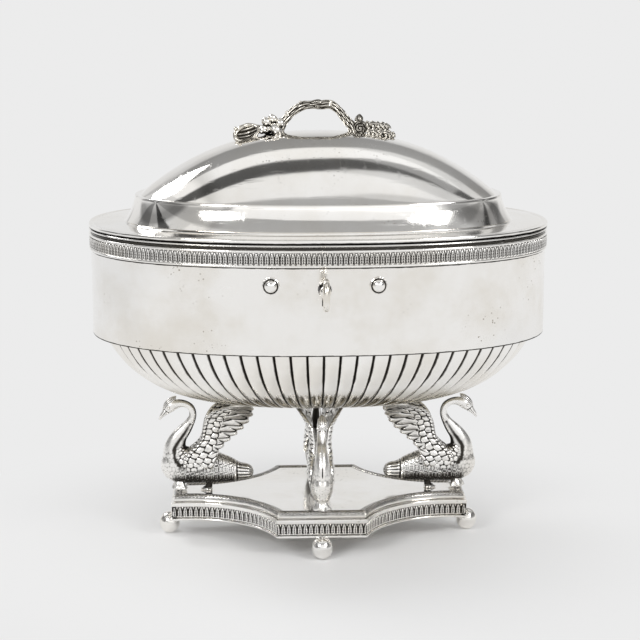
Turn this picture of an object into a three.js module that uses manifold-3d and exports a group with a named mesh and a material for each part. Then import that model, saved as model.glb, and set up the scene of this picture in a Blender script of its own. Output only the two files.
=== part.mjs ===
// Oval silver sugar box: domed lid on a hinge, fluted bowl on four swans, four-armed base on ball feet.
// Millimetres, +Z up, front towards -Y. The floor is z = 0.
import * as THREE from 'three';
import { mergeVertices } from 'three/addons/utils/BufferGeometryUtils.js';
import Module from 'manifold-3d';

const wasm = await Module();
wasm.setup();

// Driving dimensions of the vessel
const RIM_LENGTH = 190;
const RIM_WIDTH = 122.8;
const OVAL_POWER = 2.3;
const SEAT_GAP = 0.3;
const SHEET = 1.2;
const BOWL_DEPTH = 29.1;
const BOWL_INSET = 5.6;
const BOWL_SIDE_POWER = 4.65;
const BOWL_FLOOR_POWER = 1.21;
const FLUTES = 72;
const FLUTE_DEPTH = 1;
const DRUM_HEIGHT = 42.5;
const DRUM_WALL = 1.4;
const WALL_INSET = 0.9;
const SHELF_WIDTH = 7.1;
const BAND_HEIGHT = 6.8;
const BAND_DROP = 0.7;
const BAND_CLEARANCE = 0.2;
const BEAD_HEIGHT = 1.1;

// Driving dimensions of the base and its swans
const BASE_LENGTH = 125.2;
const BASE_WIDTH = 74;
const SIDE_ARM_WIDTH = 23;
const FRONT_ARM_WIDTH = 37.4;
const ARM_HOLLOW = 9.5;
const BASE_UNDERSIDE_Z = 8.2;
const FOOT_BEAD_HEIGHT = 1.1;
const BASE_FRIEZE_HEIGHT = 4.7;
const BASE_FILLET_HEIGHT = 1.8;
const CUSHION_HEIGHT = 3;
const CUSHION_WIDTH = 3.4;
const CUSHION_INSET = 0.9;
const FIELD_SINK = 0.6;
const BASE_WALL = 2.4;
const FRIEZE_RECESS = 0.8;
const FOOT_DIAMETER = 8.8;
const FOOT_HEIGHT = 9.4;
const FOOT_OVERHANG = 1.2;
const FOOT_FLAT = 0.15;
const SWAN_RISE = 41.2;
const SWAN_TO_ARM_END = 16;
const PEG_RADIUS = 1;
const NUT_RADIUS = 3.2;
const NUT_HEIGHT = 2;

// Driving dimensions of the lid, hinge and handle
const LID_WIRE_HEIGHT = 1.2;
const BRIM_THICK = 1.4;
const SHOULDER_INSET = 14.9;
const SHOULDER_HEIGHT = 11;
const SHOULDER_FLARE = 4.2;
const DOME_INSET = 21.5;
const DOME_HEIGHT = 25.8;
const DOME_POWER = 2.31;
const BEZEL_DEPTH = 4.5;
const BEZEL_CLEARANCE = 0.6;
const HINGE_RADIUS = 2.2;
const HINGE_PIN_RADIUS = 0.8;
const HINGE_RUNNING_GAP = 0.15;
const KNUCKLE_LENGTH = 7.6;
const KNUCKLE_SPACE = 0.4;
const POST_RADIUS = 1.1;

// Driving dimensions of the lock and key
const STUD_SPACING = 41.5;
const STUD_HEAD_RADIUS = 2.7;
const COLLAR_RADIUS = 3.5;
const COLLAR_THICK = 0.7;
const STUD_SHANK_RADIUS = 1.1;
const KEYHOLE_DROP = 16;
const KEYHOLE_RADIUS = 2.5;
const KEY_BARREL_RADIUS = 2.1;
const KEY_BORE_RADIUS = 1.2;
const KEY_BIT_LENGTH = 6.2;
const KEY_BIT_THICK = 1.5;
const KEY_BOW_HEIGHT = 13;
const KEY_WIRE_RADIUS = 1.1;
const KEY_REACH = 18;
const DRILL_PIN_RADIUS = 0.8;
const LOCK_WIDTH = 30;
const LOCK_HEIGHT = 21.3;
const LOCK_ABOVE_KEYHOLE = 10.6;
const LOCK_DEPTH = 9;
const LOCK_WALL = 1.2;
const BOLT_THICK = 1.4;
const BOLT_TRAVEL = 5;

const OVAL_STEPS = 56;

// Heights and reaches that follow
const FOOT_BEAD_TOP_Z = BASE_UNDERSIDE_Z + FOOT_BEAD_HEIGHT;
const FRIEZE_BOTTOM_Z = FOOT_BEAD_TOP_Z + SEAT_GAP;
const FILLET_BOTTOM_Z = FRIEZE_BOTTOM_Z + BASE_FRIEZE_HEIGHT;
const FILLET_TOP_Z = FILLET_BOTTOM_Z + BASE_FILLET_HEIGHT;
const CUSHION_BOTTOM_Z = FILLET_TOP_Z + SEAT_GAP;
const CUSHION_TOP_Z = CUSHION_BOTTOM_Z + CUSHION_HEIGHT;
const FIELD_Z = CUSHION_TOP_Z - FIELD_SINK;
const BOWL_BOTTOM_Z = FIELD_Z + SWAN_RISE;
const BOWL_TOP_Z = BOWL_BOTTOM_Z + BOWL_DEPTH;
const DRUM_BOTTOM_Z = BOWL_TOP_Z + SEAT_GAP;
const DRUM_TOP_Z = DRUM_BOTTOM_Z + DRUM_HEIGHT;
const BAND_TOP_Z = DRUM_TOP_Z - BAND_DROP;
const BAND_BOTTOM_Z = BAND_TOP_Z - BAND_HEIGHT;
const LID_UNDER_Z = DRUM_TOP_Z + SEAT_GAP;
const BRIM_UNDER_Z = LID_UNDER_Z + LID_WIRE_HEIGHT + SEAT_GAP;
const BRIM_TOP_Z = BRIM_UNDER_Z + BRIM_THICK;
const SHOULDER_TOP_Z = BRIM_TOP_Z + SHOULDER_HEIGHT;
const DOME_TOP_Z = SHOULDER_TOP_Z + DOME_HEIGHT;
const KEYHOLE_Z = DRUM_TOP_Z - KEYHOLE_DROP;
const RIM_A = RIM_LENGTH / 2;
const RIM_B = RIM_WIDTH / 2;
const WALL_INNER_INSET = WALL_INSET + DRUM_WALL;
const WALL_FRONT_Y = WALL_INSET - RIM_B;
const WALL_INNER_Y = WALL_INNER_INSET - RIM_B;
const HINGE_Y = RIM_B + SEAT_GAP + HINGE_RADIUS;
const HINGE_Z = (BAND_TOP_Z + LID_UNDER_Z) / 2;
const KEY_FRONT_Y = WALL_FRONT_Y - KEY_REACH;
const HINGE_BACK_Y = HINGE_Y + HINGE_RADIUS;
const SIDE_SWAN_X = BASE_LENGTH / 2 - SWAN_TO_ARM_END;
const FRONT_SWAN_Y = BASE_WIDTH / 2 - SWAN_TO_ARM_END;

const silver = (color, roughness) => new THREE.MeshStandardMaterial({ color, roughness, metalness: 1 });
const POLISHED = silver(0xe6e3dc, 0.18);
const CAST = silver(0xcfcac0, 0.35);
const OXIDISED = silver(0xa9a499, 0.5);
const INSIDE = silver(0xd8d2c4, 0.4);
const STEEL = silver(0x8f9296, 0.4);

// The origin lies on the floor, under the middle of the outline with its hinge and key.
const model = new THREE.Group();
model.position.set(0, -(KEY_FRONT_Y + HINGE_BACK_Y) / 2, 0);

function addPart(name, geometry, material, parent = model) {
  const mesh = new THREE.Mesh(geometry, material);
  mesh.name = name;
  parent.add(mesh);
}

// Solids: closed meshes are joined and cut as manifolds.
function toSolid(geometry) {
  const bare = geometry.clone();
  for (const key of Object.keys(bare.attributes)) if (key !== 'position') bare.deleteAttribute(key);
  const merged = mergeVertices(bare, 1e-4);
  const corners = [];
  for (let i = 0; i < merged.index.count; i += 3) {
    const [a, b, c] = [0, 1, 2].map((k) => merged.index.getX(i + k));
    if (a !== b && b !== c && c !== a) corners.push(a, b, c);
  }
  return new wasm.Manifold(new wasm.Mesh({
    numProp: 3,
    vertProperties: Float32Array.from(merged.attributes.position.array),
    triVerts: Uint32Array.from(corners),
  }));
}

function toGeometry(solid) {
  const mesh = solid.getMesh();
  const geometry = new THREE.BufferGeometry();
  geometry.setAttribute('position', new THREE.BufferAttribute(Float32Array.from(mesh.vertProperties), 3));
  geometry.setIndex(new THREE.BufferAttribute(Uint32Array.from(mesh.triVerts), 1));
  geometry.computeVertexNormals();
  return geometry;
}

const unite = (...geometries) => geometries.map(toSolid).reduce((sum, part) => sum.add(part));
const cut = (solid, ...tools) => tools.map(toSolid).reduce((rest, tool) => rest.subtract(tool), solid);

function boxBetween(low, high) {
  const size = high.map((value, i) => value - low[i]);
  return new THREE.BoxGeometry(...size).translate(...low.map((value, i) => value + size[i] / 2));
}

function alongAxis(geometry, axis, from) {
  if (axis === 'x') geometry.rotateZ(-Math.PI / 2);
  if (axis === 'z') geometry.rotateX(Math.PI / 2);
  return geometry.translate(...from);
}

// A rod or a sleeve that starts at `from` and runs in the positive direction of its axis.
function rod(radius, length, axis, from, sides = 16) {
  const cylinder = new THREE.CylinderGeometry(radius, radius, length, sides);
  return alongAxis(cylinder.translate(0, length / 2, 0), axis, from);
}

function sleeve(inner, outer, length, axis, from, sides = 16) {
  const profile = [[inner, 0], [outer, 0], [outer, length], [inner, length], [inner, 0]];
  const section = profile.map(([r, y]) => new THREE.Vector2(r, y));
  return alongAxis(new THREE.LatheGeometry(section, sides), axis, from);
}

function turned(profile, sides, axis, from) {
  const section = profile.map(([r, y]) => new THREE.Vector2(r, y));
  return alongAxis(new THREE.LatheGeometry(section, sides), axis, from);
}

// Skins loops of equal point counts, counter-clockwise from above and in rising order on the outside.
function loft(loops, joined = false) {
  const count = loops[0].length;
  const points = loops.flat();
  const index = [];
  const bands = joined ? loops.length : loops.length - 1;
  for (let k = 0; k < bands; k += 1) {
    const lower = k * count;
    const upper = ((k + 1) % loops.length) * count;
    for (let i = 0; i < count; i += 1) {
      const j = (i + 1) % count;
      index.push(lower + i, lower + j, upper + j, lower + i, upper + j, upper + i);
    }
  }
  if (!joined) {
    addFan(points, index, loops[0], 0, true);
    addFan(points, index, loops.at(-1), (loops.length - 1) * count, false);
  }
  const geometry = new THREE.BufferGeometry().setFromPoints(points);
  geometry.setIndex(index);
  geometry.computeVertexNormals();
  return geometry;
}

function addFan(points, index, loop, start, flipped) {
  const centre = new THREE.Vector3();
  for (const point of loop) centre.addScaledVector(point, 1 / loop.length);
  const hub = points.push(centre) - 1;
  for (let i = 0; i < loop.length; i += 1) {
    const a = start + i;
    const b = start + ((i + 1) % loop.length);
    index.push(...(flipped ? [hub, b, a] : [hub, a, b]));
  }
}

// Ovals: superellipses whose points are spaced evenly along the rim.
const spread = (value) => Math.sign(value) * Math.abs(value) ** (2 / OVAL_POWER);
const ovalPoint = (a, b, z, t) => new THREE.Vector3(a * spread(Math.cos(t)), b * spread(Math.sin(t)), z);

function evenAngles(steps) {
  const fine = 1440;
  const reach = [0];
  for (let i = 1; i <= fine / 4; i += 1) {
    const last = ovalPoint(RIM_A, RIM_B, 0, ((i - 1) * 2 * Math.PI) / fine);
    reach.push(reach[i - 1] + last.distanceTo(ovalPoint(RIM_A, RIM_B, 0, (i * 2 * Math.PI) / fine)));
  }
  const quarter = [];
  for (let k = 0; k < steps / 4; k += 1) {
    const wanted = (k / (steps / 4)) * reach.at(-1);
    const i = Math.max(1, reach.findIndex((value) => value >= wanted));
    const part = (wanted - reach[i - 1]) / (reach[i] - reach[i - 1]);
    quarter.push(((i - 1 + part) * 2 * Math.PI) / fine);
  }
  const half = [...quarter, Math.PI / 2, ...quarter.slice(1).reverse().map((t) => Math.PI - t)];
  return [...half, ...half.map((t) => t + Math.PI)];
}

const RIM_ANGLES = evenAngles(OVAL_STEPS);
const oval = (a, b, z) => RIM_ANGLES.map((t) => ovalPoint(a, b, z, t));
const rimOval = (inset, z) => oval(RIM_A - inset, RIM_B - inset, z);
const rimRing = (section) => loft(section.map(([inset, z]) => rimOval(inset, z)), true);
const halfWidthAt = (x, inset) => (
  (RIM_B - inset) * (1 - Math.abs(x / (RIM_A - inset)) ** OVAL_POWER) ** (1 / OVAL_POWER)
);

// Base outline: flat arm ends with a concave arc between neighbouring arms, for any inset.
function baseOutline(inset, z) {
  const side = new THREE.Vector2(BASE_LENGTH / 2, SIDE_ARM_WIDTH / 2);
  const front = new THREE.Vector2(FRONT_ARM_WIDTH / 2, BASE_WIDTH / 2);
  const chord = side.distanceTo(front);
  const radius = (chord ** 2 / 4 + ARM_HOLLOW ** 2) / (2 * ARM_HOLLOW);
  const outward = new THREE.Vector2(front.y - side.y, side.x - front.x).divideScalar(chord);
  const centre = side.clone().add(front).multiplyScalar(0.5).addScaledVector(outward, radius - ARM_HOLLOW);
  const arc = radius + inset;
  const startX = side.x - inset - centre.x;
  const endY = front.y - inset - centre.y;
  const start = Math.atan2(-Math.sqrt(arc ** 2 - startX ** 2), startX);
  const end = Math.atan2(endY, -Math.sqrt(arc ** 2 - endY ** 2));
  const steps = 7;
  const quarter = [];
  for (let i = 0; i <= steps; i += 1) {
    const angle = start + ((end - start) * i) / steps;
    quarter.push([centre.x + arc * Math.cos(angle), centre.y + arc * Math.sin(angle)]);
  }
  const loop = [
    ...quarter,
    ...quarter.map(([x, y]) => [-x, y]).reverse(),
    ...quarter.map(([x, y]) => [-x, -y]),
    ...quarter.map(([x, y]) => [x, -y]).reverse(),
  ];
  return loop.map(([x, y]) => new THREE.Vector3(x, y, z));
}

const baseRing = (section) => loft(section.map(([inset, z]) => baseOutline(inset, z)), true);

const SWANS = [
  { name: 'left', turn: Math.PI, x: -SIDE_SWAN_X, y: 0 },
  { name: 'right', turn: 0, x: SIDE_SWAN_X, y: 0 },
  { name: 'front', turn: -Math.PI / 2, x: 0, y: -FRONT_SWAN_Y },
  { name: 'back', turn: Math.PI / 2, x: 0, y: FRONT_SWAN_Y },
];

function buildBase() {
  const half = CUSHION_WIDTH / 2;
  const loops = [baseOutline(CUSHION_INSET, CUSHION_BOTTOM_Z)];
  for (const degrees of [0, 50, 100]) {
    const turn = THREE.MathUtils.degToRad(degrees);
    const inset = CUSHION_INSET + half * (1 - Math.cos(turn));
    loops.push(baseOutline(inset, CUSHION_TOP_Z - half * (1 - Math.sin(turn))));
  }
  loops.push(baseOutline(CUSHION_INSET + CUSHION_WIDTH, FIELD_Z));
  const hollow = loft([
    baseOutline(BASE_WALL, CUSHION_BOTTOM_Z - 1), baseOutline(BASE_WALL + 1, FIELD_Z - SHEET),
  ]);
  const holes = SWANS.map(({ x, y }) => (
    rod(PEG_RADIUS + SEAT_GAP, 3 * SHEET, 'z', [x, y, FIELD_Z - 2 * SHEET], 8)
  ));
  addPart('base_platform', toGeometry(cut(toSolid(loft(loops)), hollow, ...holes)), POLISHED);
  addPart('base_frieze_band', baseRing([
    [FRIEZE_RECESS, FRIEZE_BOTTOM_Z], [FRIEZE_RECESS, FILLET_BOTTOM_Z], [0, FILLET_BOTTOM_Z + 0.2],
    [0, FILLET_TOP_Z], [BASE_WALL, FILLET_TOP_Z], [BASE_WALL, FRIEZE_BOTTOM_Z],
  ]), OXIDISED);
  addPart('base_foot_bead', baseRing([
    [0.4, BASE_UNDERSIDE_Z], [0, (BASE_UNDERSIDE_Z + FOOT_BEAD_TOP_Z) / 2], [0.4, FOOT_BEAD_TOP_Z],
    [BASE_WALL, FOOT_BEAD_TOP_Z], [BASE_WALL, BASE_UNDERSIDE_Z],
  ]), POLISHED);
}

// A ball foot under an arm end, notched where the bead and the frieze stand on it.
function buildFeet() {
  const rings = 6;
  const flatTurn = Math.acos(1 - (2 * FOOT_FLAT) / FOOT_HEIGHT);
  const profile = [[0, 0]];
  for (let i = 0; i <= rings; i += 1) {
    const turn = flatTurn + ((Math.PI - flatTurn) * i) / rings;
    const radius = i === rings ? 0 : (FOOT_DIAMETER / 2) * Math.sin(turn);
    profile.push([radius, (FOOT_HEIGHT / 2) * (1 - Math.cos(turn)) - FOOT_FLAT]);
  }
  const notch = boxBetween(
    [-FOOT_DIAMETER, -FOOT_DIAMETER, BASE_UNDERSIDE_Z - SEAT_GAP],
    [SEAT_GAP - FOOT_OVERHANG, FOOT_DIAMETER, BASE_UNDERSIDE_Z + FOOT_HEIGHT],
  );
  const foot = toGeometry(cut(toSolid(turned(profile, 10, 'z', [0, 0, 0])), notch));
  const sideX = BASE_LENGTH / 2 + FOOT_OVERHANG;
  const frontY = BASE_WIDTH / 2 + FOOT_OVERHANG;
  const places = { left: [-sideX, 0], right: [sideX, 0], front: [0, -frontY], back: [0, frontY] };
  for (const { name, turn } of SWANS) {
    const [x, y] = places[name];
    addPart(`ball_foot_${name}`, foot.clone().rotateZ(turn).translate(x, y, 0), POLISHED);
  }
}

// A limb: oval rings across a path in the X-Z plane, given as [x, z, radius, half width across].
function limb(sections, sides, grow = 0) {
  const centres = sections.map(([x, z]) => new THREE.Vector3(x, 0, z));
  const loops = sections.map(([, , radius, width], k) => {
    const next = centres[Math.min(k + 1, centres.length - 1)];
    const tangent = next.clone().sub(centres[Math.max(k - 1, 0)]).normalize();
    const normal = new THREE.Vector3(tangent.z, 0, -tangent.x);
    const overrun = k === 0 ? -grow : Number(k === sections.length - 1) * grow;
    return Array.from({ length: sides }, (_, i) => {
      const turn = (2 * Math.PI * i) / sides;
      const point = centres[k].clone().addScaledVector(normal, (radius + grow) * Math.cos(turn));
      point.y = (width + grow) * Math.sin(turn);
      return point.addScaledVector(tangent, overrun);
    });
  });
  return loft(loops);
}

// Swan, drawn for a rise of 41.2 from the platform to the bowl, and for a leg 21 from the middle of the
// box. Rows are [x, z, ...], with x outwards from the leg; what lies inwards of it follows the room there.
const SWAN_DRAWN_RISE = 41.2;
const SWAN_DRAWN_LEG = 21;
const inwards = FRONT_SWAN_Y / SWAN_DRAWN_LEG;
const fitted = (rows) => rows.map(([x, ...rest]) => [x < 0 ? x * inwards : x, ...rest]);
const SWAN_BODY = fitted([
  [-18.4, 7.8, 2.2, 2.2], [-15.6, 7.8, 3.8, 3.3], [-11.8, 8, 4.4, 3.6], [-6.6, 9.2, 6, 4.4],
  [3, 10.6, 7.4, 4.8], [12.4, 11.2, 8, 4.6], [16.9, 12.2, 6.6, 4.1], [19.4, 13.2, 3.6, 2.8],
]);
const SWAN_NECK = [
  [14, 13, 5.2, 4], [14.6, 19.2, 4.6, 3.4], [12.8, 23.2, 3.7, 2.9], [9.9, 26.9, 3.1, 2.4],
  [7.5, 30.2, 2.2, 2.2], [6.5, 33.2, 1.6, 1.9], [7.6, 36.5, 1.6, 1.8], [10.9, 38.3, 1.75, 1.7],
  [13.6, 38.6, 1.9, 1.7], [16, 38.2, 2.3, 1.8], [18.2, 36.8, 2.1, 1.6], [19.9, 34.6, 1.3, 1.1],
  [20.9, 32.4, 0.5, 0.8],
];
const SWAN_CREST = [[15.2, 39.6, 1.2, 0.7], [13.8, 41, 0.7, 0.4]];
const WING_LEADING = fitted([
  [10.6, 12.2], [9.2, 17.2], [5.4, 20.4], [3.4, 23.2], [2.9, 25.7], [2.4, 28.2],
  [1.7, 30.9], [0.4, 33.5], [-1.6, 35.6], [-4.6, 37.4], [-8.6, 39.2], [-10.6, 42.4],
]);
const WING_TRAILING = fitted([
  [-0.1, 10.7], [-2.2, 15.2], [-4.3, 18.8], [-8.6, 22.4], [-11, 24.1], [-13.8, 26.5],
  [-16, 28.4], [-17.4, 30.6], [-18.6, 33.2], [-19, 35.8], [-17.4, 39.4], [-15.6, 42.4],
]);
const WING_SPREAD = [
  [10, 6], [12, 5.6], [17, 4], [22, 2.7], [26, 2.3], [32, 3.4], [36, 6.4], [40, 10], [43, 11],
];
const WING_THICK = 1.5;
const FEATHER_NOTCH = 1.3;

function spreadAt(z) {
  const k = Math.max(1, WING_SPREAD.findIndex(([height]) => height >= z));
  const [[z0, y0], [z1, y1]] = [WING_SPREAD[k - 1], WING_SPREAD[k]];
  return y0 + ((y1 - y0) * (z - z0)) / (z1 - z0);
}

function wingStation([leadX, leadZ], [trailX, trailZ]) {
  const middle = [(leadX + trailX) / 2, (leadZ + trailZ) / 2];
  const rim = [[leadX, leadZ, -0.5], [...middle, 0.8], [trailX, trailZ, 0.3], [trailX, trailZ, -0.5]];
  return rim.map(([x, z, side]) => new THREE.Vector3(x, spreadAt(z) + WING_THICK * side, z));
}

function wingPlate() {
  const stations = [];
  WING_LEADING.forEach((lead, k) => {
    const trail = WING_TRAILING[k];
    if (k > 2) {
      const between = (one, other) => one.map((value, i) => (value + other[i]) / 2);
      const [x, z] = between(trail, WING_TRAILING[k - 1]);
      stations.push(wingStation(between(lead, WING_LEADING[k - 1]), [x + FEATHER_NOTCH, z + 0.3]));
    }
    stations.push(wingStation(lead, trail));
  });
  return loft(stations);
}

// The rock under the breast, the leg and its threaded peg.
function swanSupports() {
  const bottom = CUSHION_TOP_Z + SEAT_GAP - FIELD_Z;
  const loops = [[bottom, 3.2], [bottom + 2, 2.6], [bottom + 4.5, 1.6]].map(([z, size], level) => (
    Array.from({ length: 7 }, (_, i) => {
      const turn = (2 * Math.PI * i) / 7;
      const reach = size * (1 + 0.16 * Math.sin(3 * i + 2 * level));
      return new THREE.Vector3(12.6 + reach * Math.cos(turn), 1.15 * reach * Math.sin(turn), z);
    })
  ));
  return [loft(loops), rod(1.7, 6, 'z', [0, 0, SEAT_GAP], 7)];
}

function placeSwanPart(geometry, { turn, x, y }) {
  const rise = SWAN_RISE / SWAN_DRAWN_RISE;
  return geometry.clone().scale(1, 1, rise).rotateZ(turn).translate(x, y, FIELD_Z);
}

function buildSwans() {
  const body = unite(limb(SWAN_BODY, 8), limb(SWAN_NECK, 7), limb(SWAN_CREST, 5), ...swanSupports());
  const room = unite(limb(SWAN_BODY, 8, SEAT_GAP), limb(SWAN_NECK, 7, SEAT_GAP));
  const wing = toSolid(wingPlate()).subtract(room);
  const seat = loft(bowlLoops(0, 0)).translate(0, 0, -SEAT_GAP);
  const nutTop = FIELD_Z - SHEET - SEAT_GAP;
  const pegLength = SHEET + 2 * SEAT_GAP + NUT_HEIGHT + 1;
  for (const swan of SWANS) {
    const peg = rod(PEG_RADIUS, pegLength + 3, 'z', [swan.x, swan.y, FIELD_Z - pegLength + SEAT_GAP], 8);
    addPart(`swan_${swan.name}`, toGeometry(unite(placeSwanPart(toGeometry(body), swan), peg)), CAST);
    const wings = { wing_l: wing, wing_r: wing.mirror([0, 1, 0]) };
    for (const [side, half] of Object.entries(wings)) {
      const placed = placeSwanPart(toGeometry(half), swan);
      addPart(`swan_${swan.name}_${side}`, toGeometry(cut(toSolid(placed), seat)), CAST);
    }
    const seatPoint = [swan.x, swan.y, nutTop - NUT_HEIGHT];
    const nut = sleeve(PEG_RADIUS + 0.2, NUT_RADIUS, NUT_HEIGHT, 'z', seatPoint, 6);
    addPart(`swan_${swan.name}_nut`, nut, INSIDE);
  }
}

// Bowl: the depth below the rim follows the distance from the middle, and the grooves fade out below.
function bowlLoops(groove, wall, angles = RIM_ANGLES) {
  const a = RIM_A - BOWL_INSET - wall;
  const b = RIM_B - BOWL_INSET - wall;
  const floor = wall > 0 ? SHEET : 0;
  return [0.34, 0.64, 0.83, 0.945, 1].map((share) => {
    const drop = (1 - share ** BOWL_SIDE_POWER) ** (1 / BOWL_FLOOR_POWER);
    const fade = THREE.MathUtils.smoothstep(share, 0.5, 0.8);
    return angles.map((t, i) => {
      const depth = i % 3 === 0 ? groove * fade : 0;
      return ovalPoint(a * share - depth, b * share - depth, BOWL_TOP_Z - (BOWL_DEPTH - floor) * drop, t);
    });
  });
}

function buildBowl() {
  const outer = loft(bowlLoops(FLUTE_DEPTH, 0, evenAngles(3 * FLUTES)));
  const loops = bowlLoops(0, FLUTE_DEPTH + SHEET);
  loops.push(loops.at(-1).map((point) => point.clone().setZ(BOWL_TOP_Z + 1)));
  addPart('bowl', toGeometry(cut(toSolid(outer), loft(loops))), POLISHED);
}

// Places a piece drawn at the origin, with +Y into the box, on the outside of the front wall.
function onFrontWall(geometry, x, z) {
  const step = 0.5;
  const y = -halfWidthAt(x, WALL_INSET);
  const slope = (halfWidthAt(x - step, WALL_INSET) - halfWidthAt(x + step, WALL_INSET)) / (2 * step);
  return geometry.clone().rotateZ(Math.atan(slope)).translate(x, y, z);
}

const STUD_Z = KEYHOLE_Z + 1.4;
const studHoles = () => [-1, 1].map((side) => (
  onFrontWall(rod(STUD_SHANK_RADIUS + 0.2, 12, 'y', [0, -4, 0], 10), (side * STUD_SPACING) / 2, STUD_Z)
));

function keyholeCutters(fromY, length) {
  const half = KEY_BIT_THICK / 2 + 0.3;
  return [
    rod(KEYHOLE_RADIUS, length, 'y', [0, fromY, KEYHOLE_Z], 14),
    boxBetween([-half, fromY, KEYHOLE_Z - KEY_BIT_LENGTH - 0.4], [half, fromY + length, KEYHOLE_Z]),
  ];
}

function buildDrum() {
  const shelfZ = DRUM_BOTTOM_Z + DRUM_WALL;
  const shelfInset = WALL_INSET + SHELF_WIDTH;
  const wall = rimRing([
    [WALL_INSET, DRUM_BOTTOM_Z], [WALL_INSET, DRUM_TOP_Z], [WALL_INNER_INSET, DRUM_TOP_Z],
    [WALL_INNER_INSET, shelfZ], [shelfInset, shelfZ], [shelfInset, DRUM_BOTTOM_Z],
  ]);
  const openings = [...keyholeCutters(WALL_FRONT_Y - 2, DRUM_WALL + 4), ...studHoles()];
  addPart('drum', toGeometry(cut(toSolid(wall), ...openings)), POLISHED);
  const inner = WALL_INSET - BAND_CLEARANCE;
  const recess = inner / 2;
  addPart('rim_band', rimRing([
    [0, BAND_BOTTOM_Z], [0, BAND_BOTTOM_Z + BEAD_HEIGHT - 0.3], [recess, BAND_BOTTOM_Z + BEAD_HEIGHT],
    [recess, BAND_TOP_Z - BEAD_HEIGHT], [0, BAND_TOP_Z - BEAD_HEIGHT + 0.3], [0, BAND_TOP_Z],
    [inner, BAND_TOP_Z], [inner, BAND_BOTTOM_Z],
  ]), OXIDISED);
}

// Hinge behind the rim: knuckles 1, 3 and 5 belong to the box, 2 and 4 to the lid.
const KNUCKLES = 5;
const HINGE_WIDTH = KNUCKLES * KNUCKLE_LENGTH + (KNUCKLES - 1) * KNUCKLE_SPACE;
const knuckleStart = (k) => k * (KNUCKLE_LENGTH + KNUCKLE_SPACE) - HINGE_WIDTH / 2;

function backStrip(low, high, fromX, toX) {
  const outer = -SEAT_GAP - SHEET;
  const ring = rimRing([[outer, low], [outer, high], [-SEAT_GAP, high], [-SEAT_GAP, low]]);
  return toSolid(ring).intersect(toSolid(boxBetween([fromX, 0, low - 1], [toX, 2 * RIM_B, high + 1])));
}

function buildHinge() {
  const bore = HINGE_PIN_RADIUS + HINGE_RUNNING_GAP;
  const knuckle = (k) => toSolid(
    sleeve(bore, HINGE_RADIUS, KNUCKLE_LENGTH, 'x', [knuckleStart(k), HINGE_Y, HINGE_Z], 12),
  );
  const boreRod = rod(bore, HINGE_WIDTH, 'x', [-HINGE_WIDTH / 2, HINGE_Y, HINGE_Z], 12);
  const tongue = (k, low, high) => backStrip(low, high, knuckleStart(k), knuckleStart(k) + KNUCKLE_LENGTH);
  const leafTop = HINGE_Z - HINGE_RADIUS - SEAT_GAP;
  let body = backStrip(BAND_BOTTOM_Z, leafTop, -HINGE_WIDTH / 2, HINGE_WIDTH / 2);
  for (const k of [0, 2, 4]) body = body.add(tongue(k, leafTop - 0.1, HINGE_Z)).add(knuckle(k));
  addPart('hinge_body_leaf', toGeometry(cut(body, boreRod)), POLISHED);
  const stripLow = HINGE_Z + HINGE_RADIUS + SEAT_GAP;
  let lid = backStrip(stripLow, stripLow + 1, -HINGE_WIDTH / 2, HINGE_WIDTH / 2);
  for (const k of [1, 3]) lid = lid.add(tongue(k, HINGE_Z + 0.5, stripLow + 0.1)).add(knuckle(k));
  addPart('hinge_lid_leaf', toGeometry(cut(lid, boreRod)), POLISHED);
  const pin = rod(HINGE_PIN_RADIUS, HINGE_WIDTH, 'x', [-HINGE_WIDTH / 2, HINGE_Y, HINGE_Z], 10);
  addPart('hinge_pin', pin, STEEL);
}

// Lid: a flat brim, a flared shoulder and a dome, hollow from below.
function shoulderInset(share) {
  return SHOULDER_INSET + SHOULDER_FLARE * (1 - (1 - share) ** 1.6);
}

// The inside of the dome is flat above the handle's nuts.
const CEILING_SHARE = 0.25;
const ceilingZ = () => domeLoop(CEILING_SHARE, SHEET)[0].z;

function domeLoop(share, wall) {
  const a = RIM_A - DOME_INSET - wall;
  const b = RIM_B - DOME_INSET - wall;
  const z = SHOULDER_TOP_Z + (DOME_HEIGHT - wall) * (1 - share ** DOME_POWER) ** (1 / 1.05);
  return oval(a * share, b * share, z);
}

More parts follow.
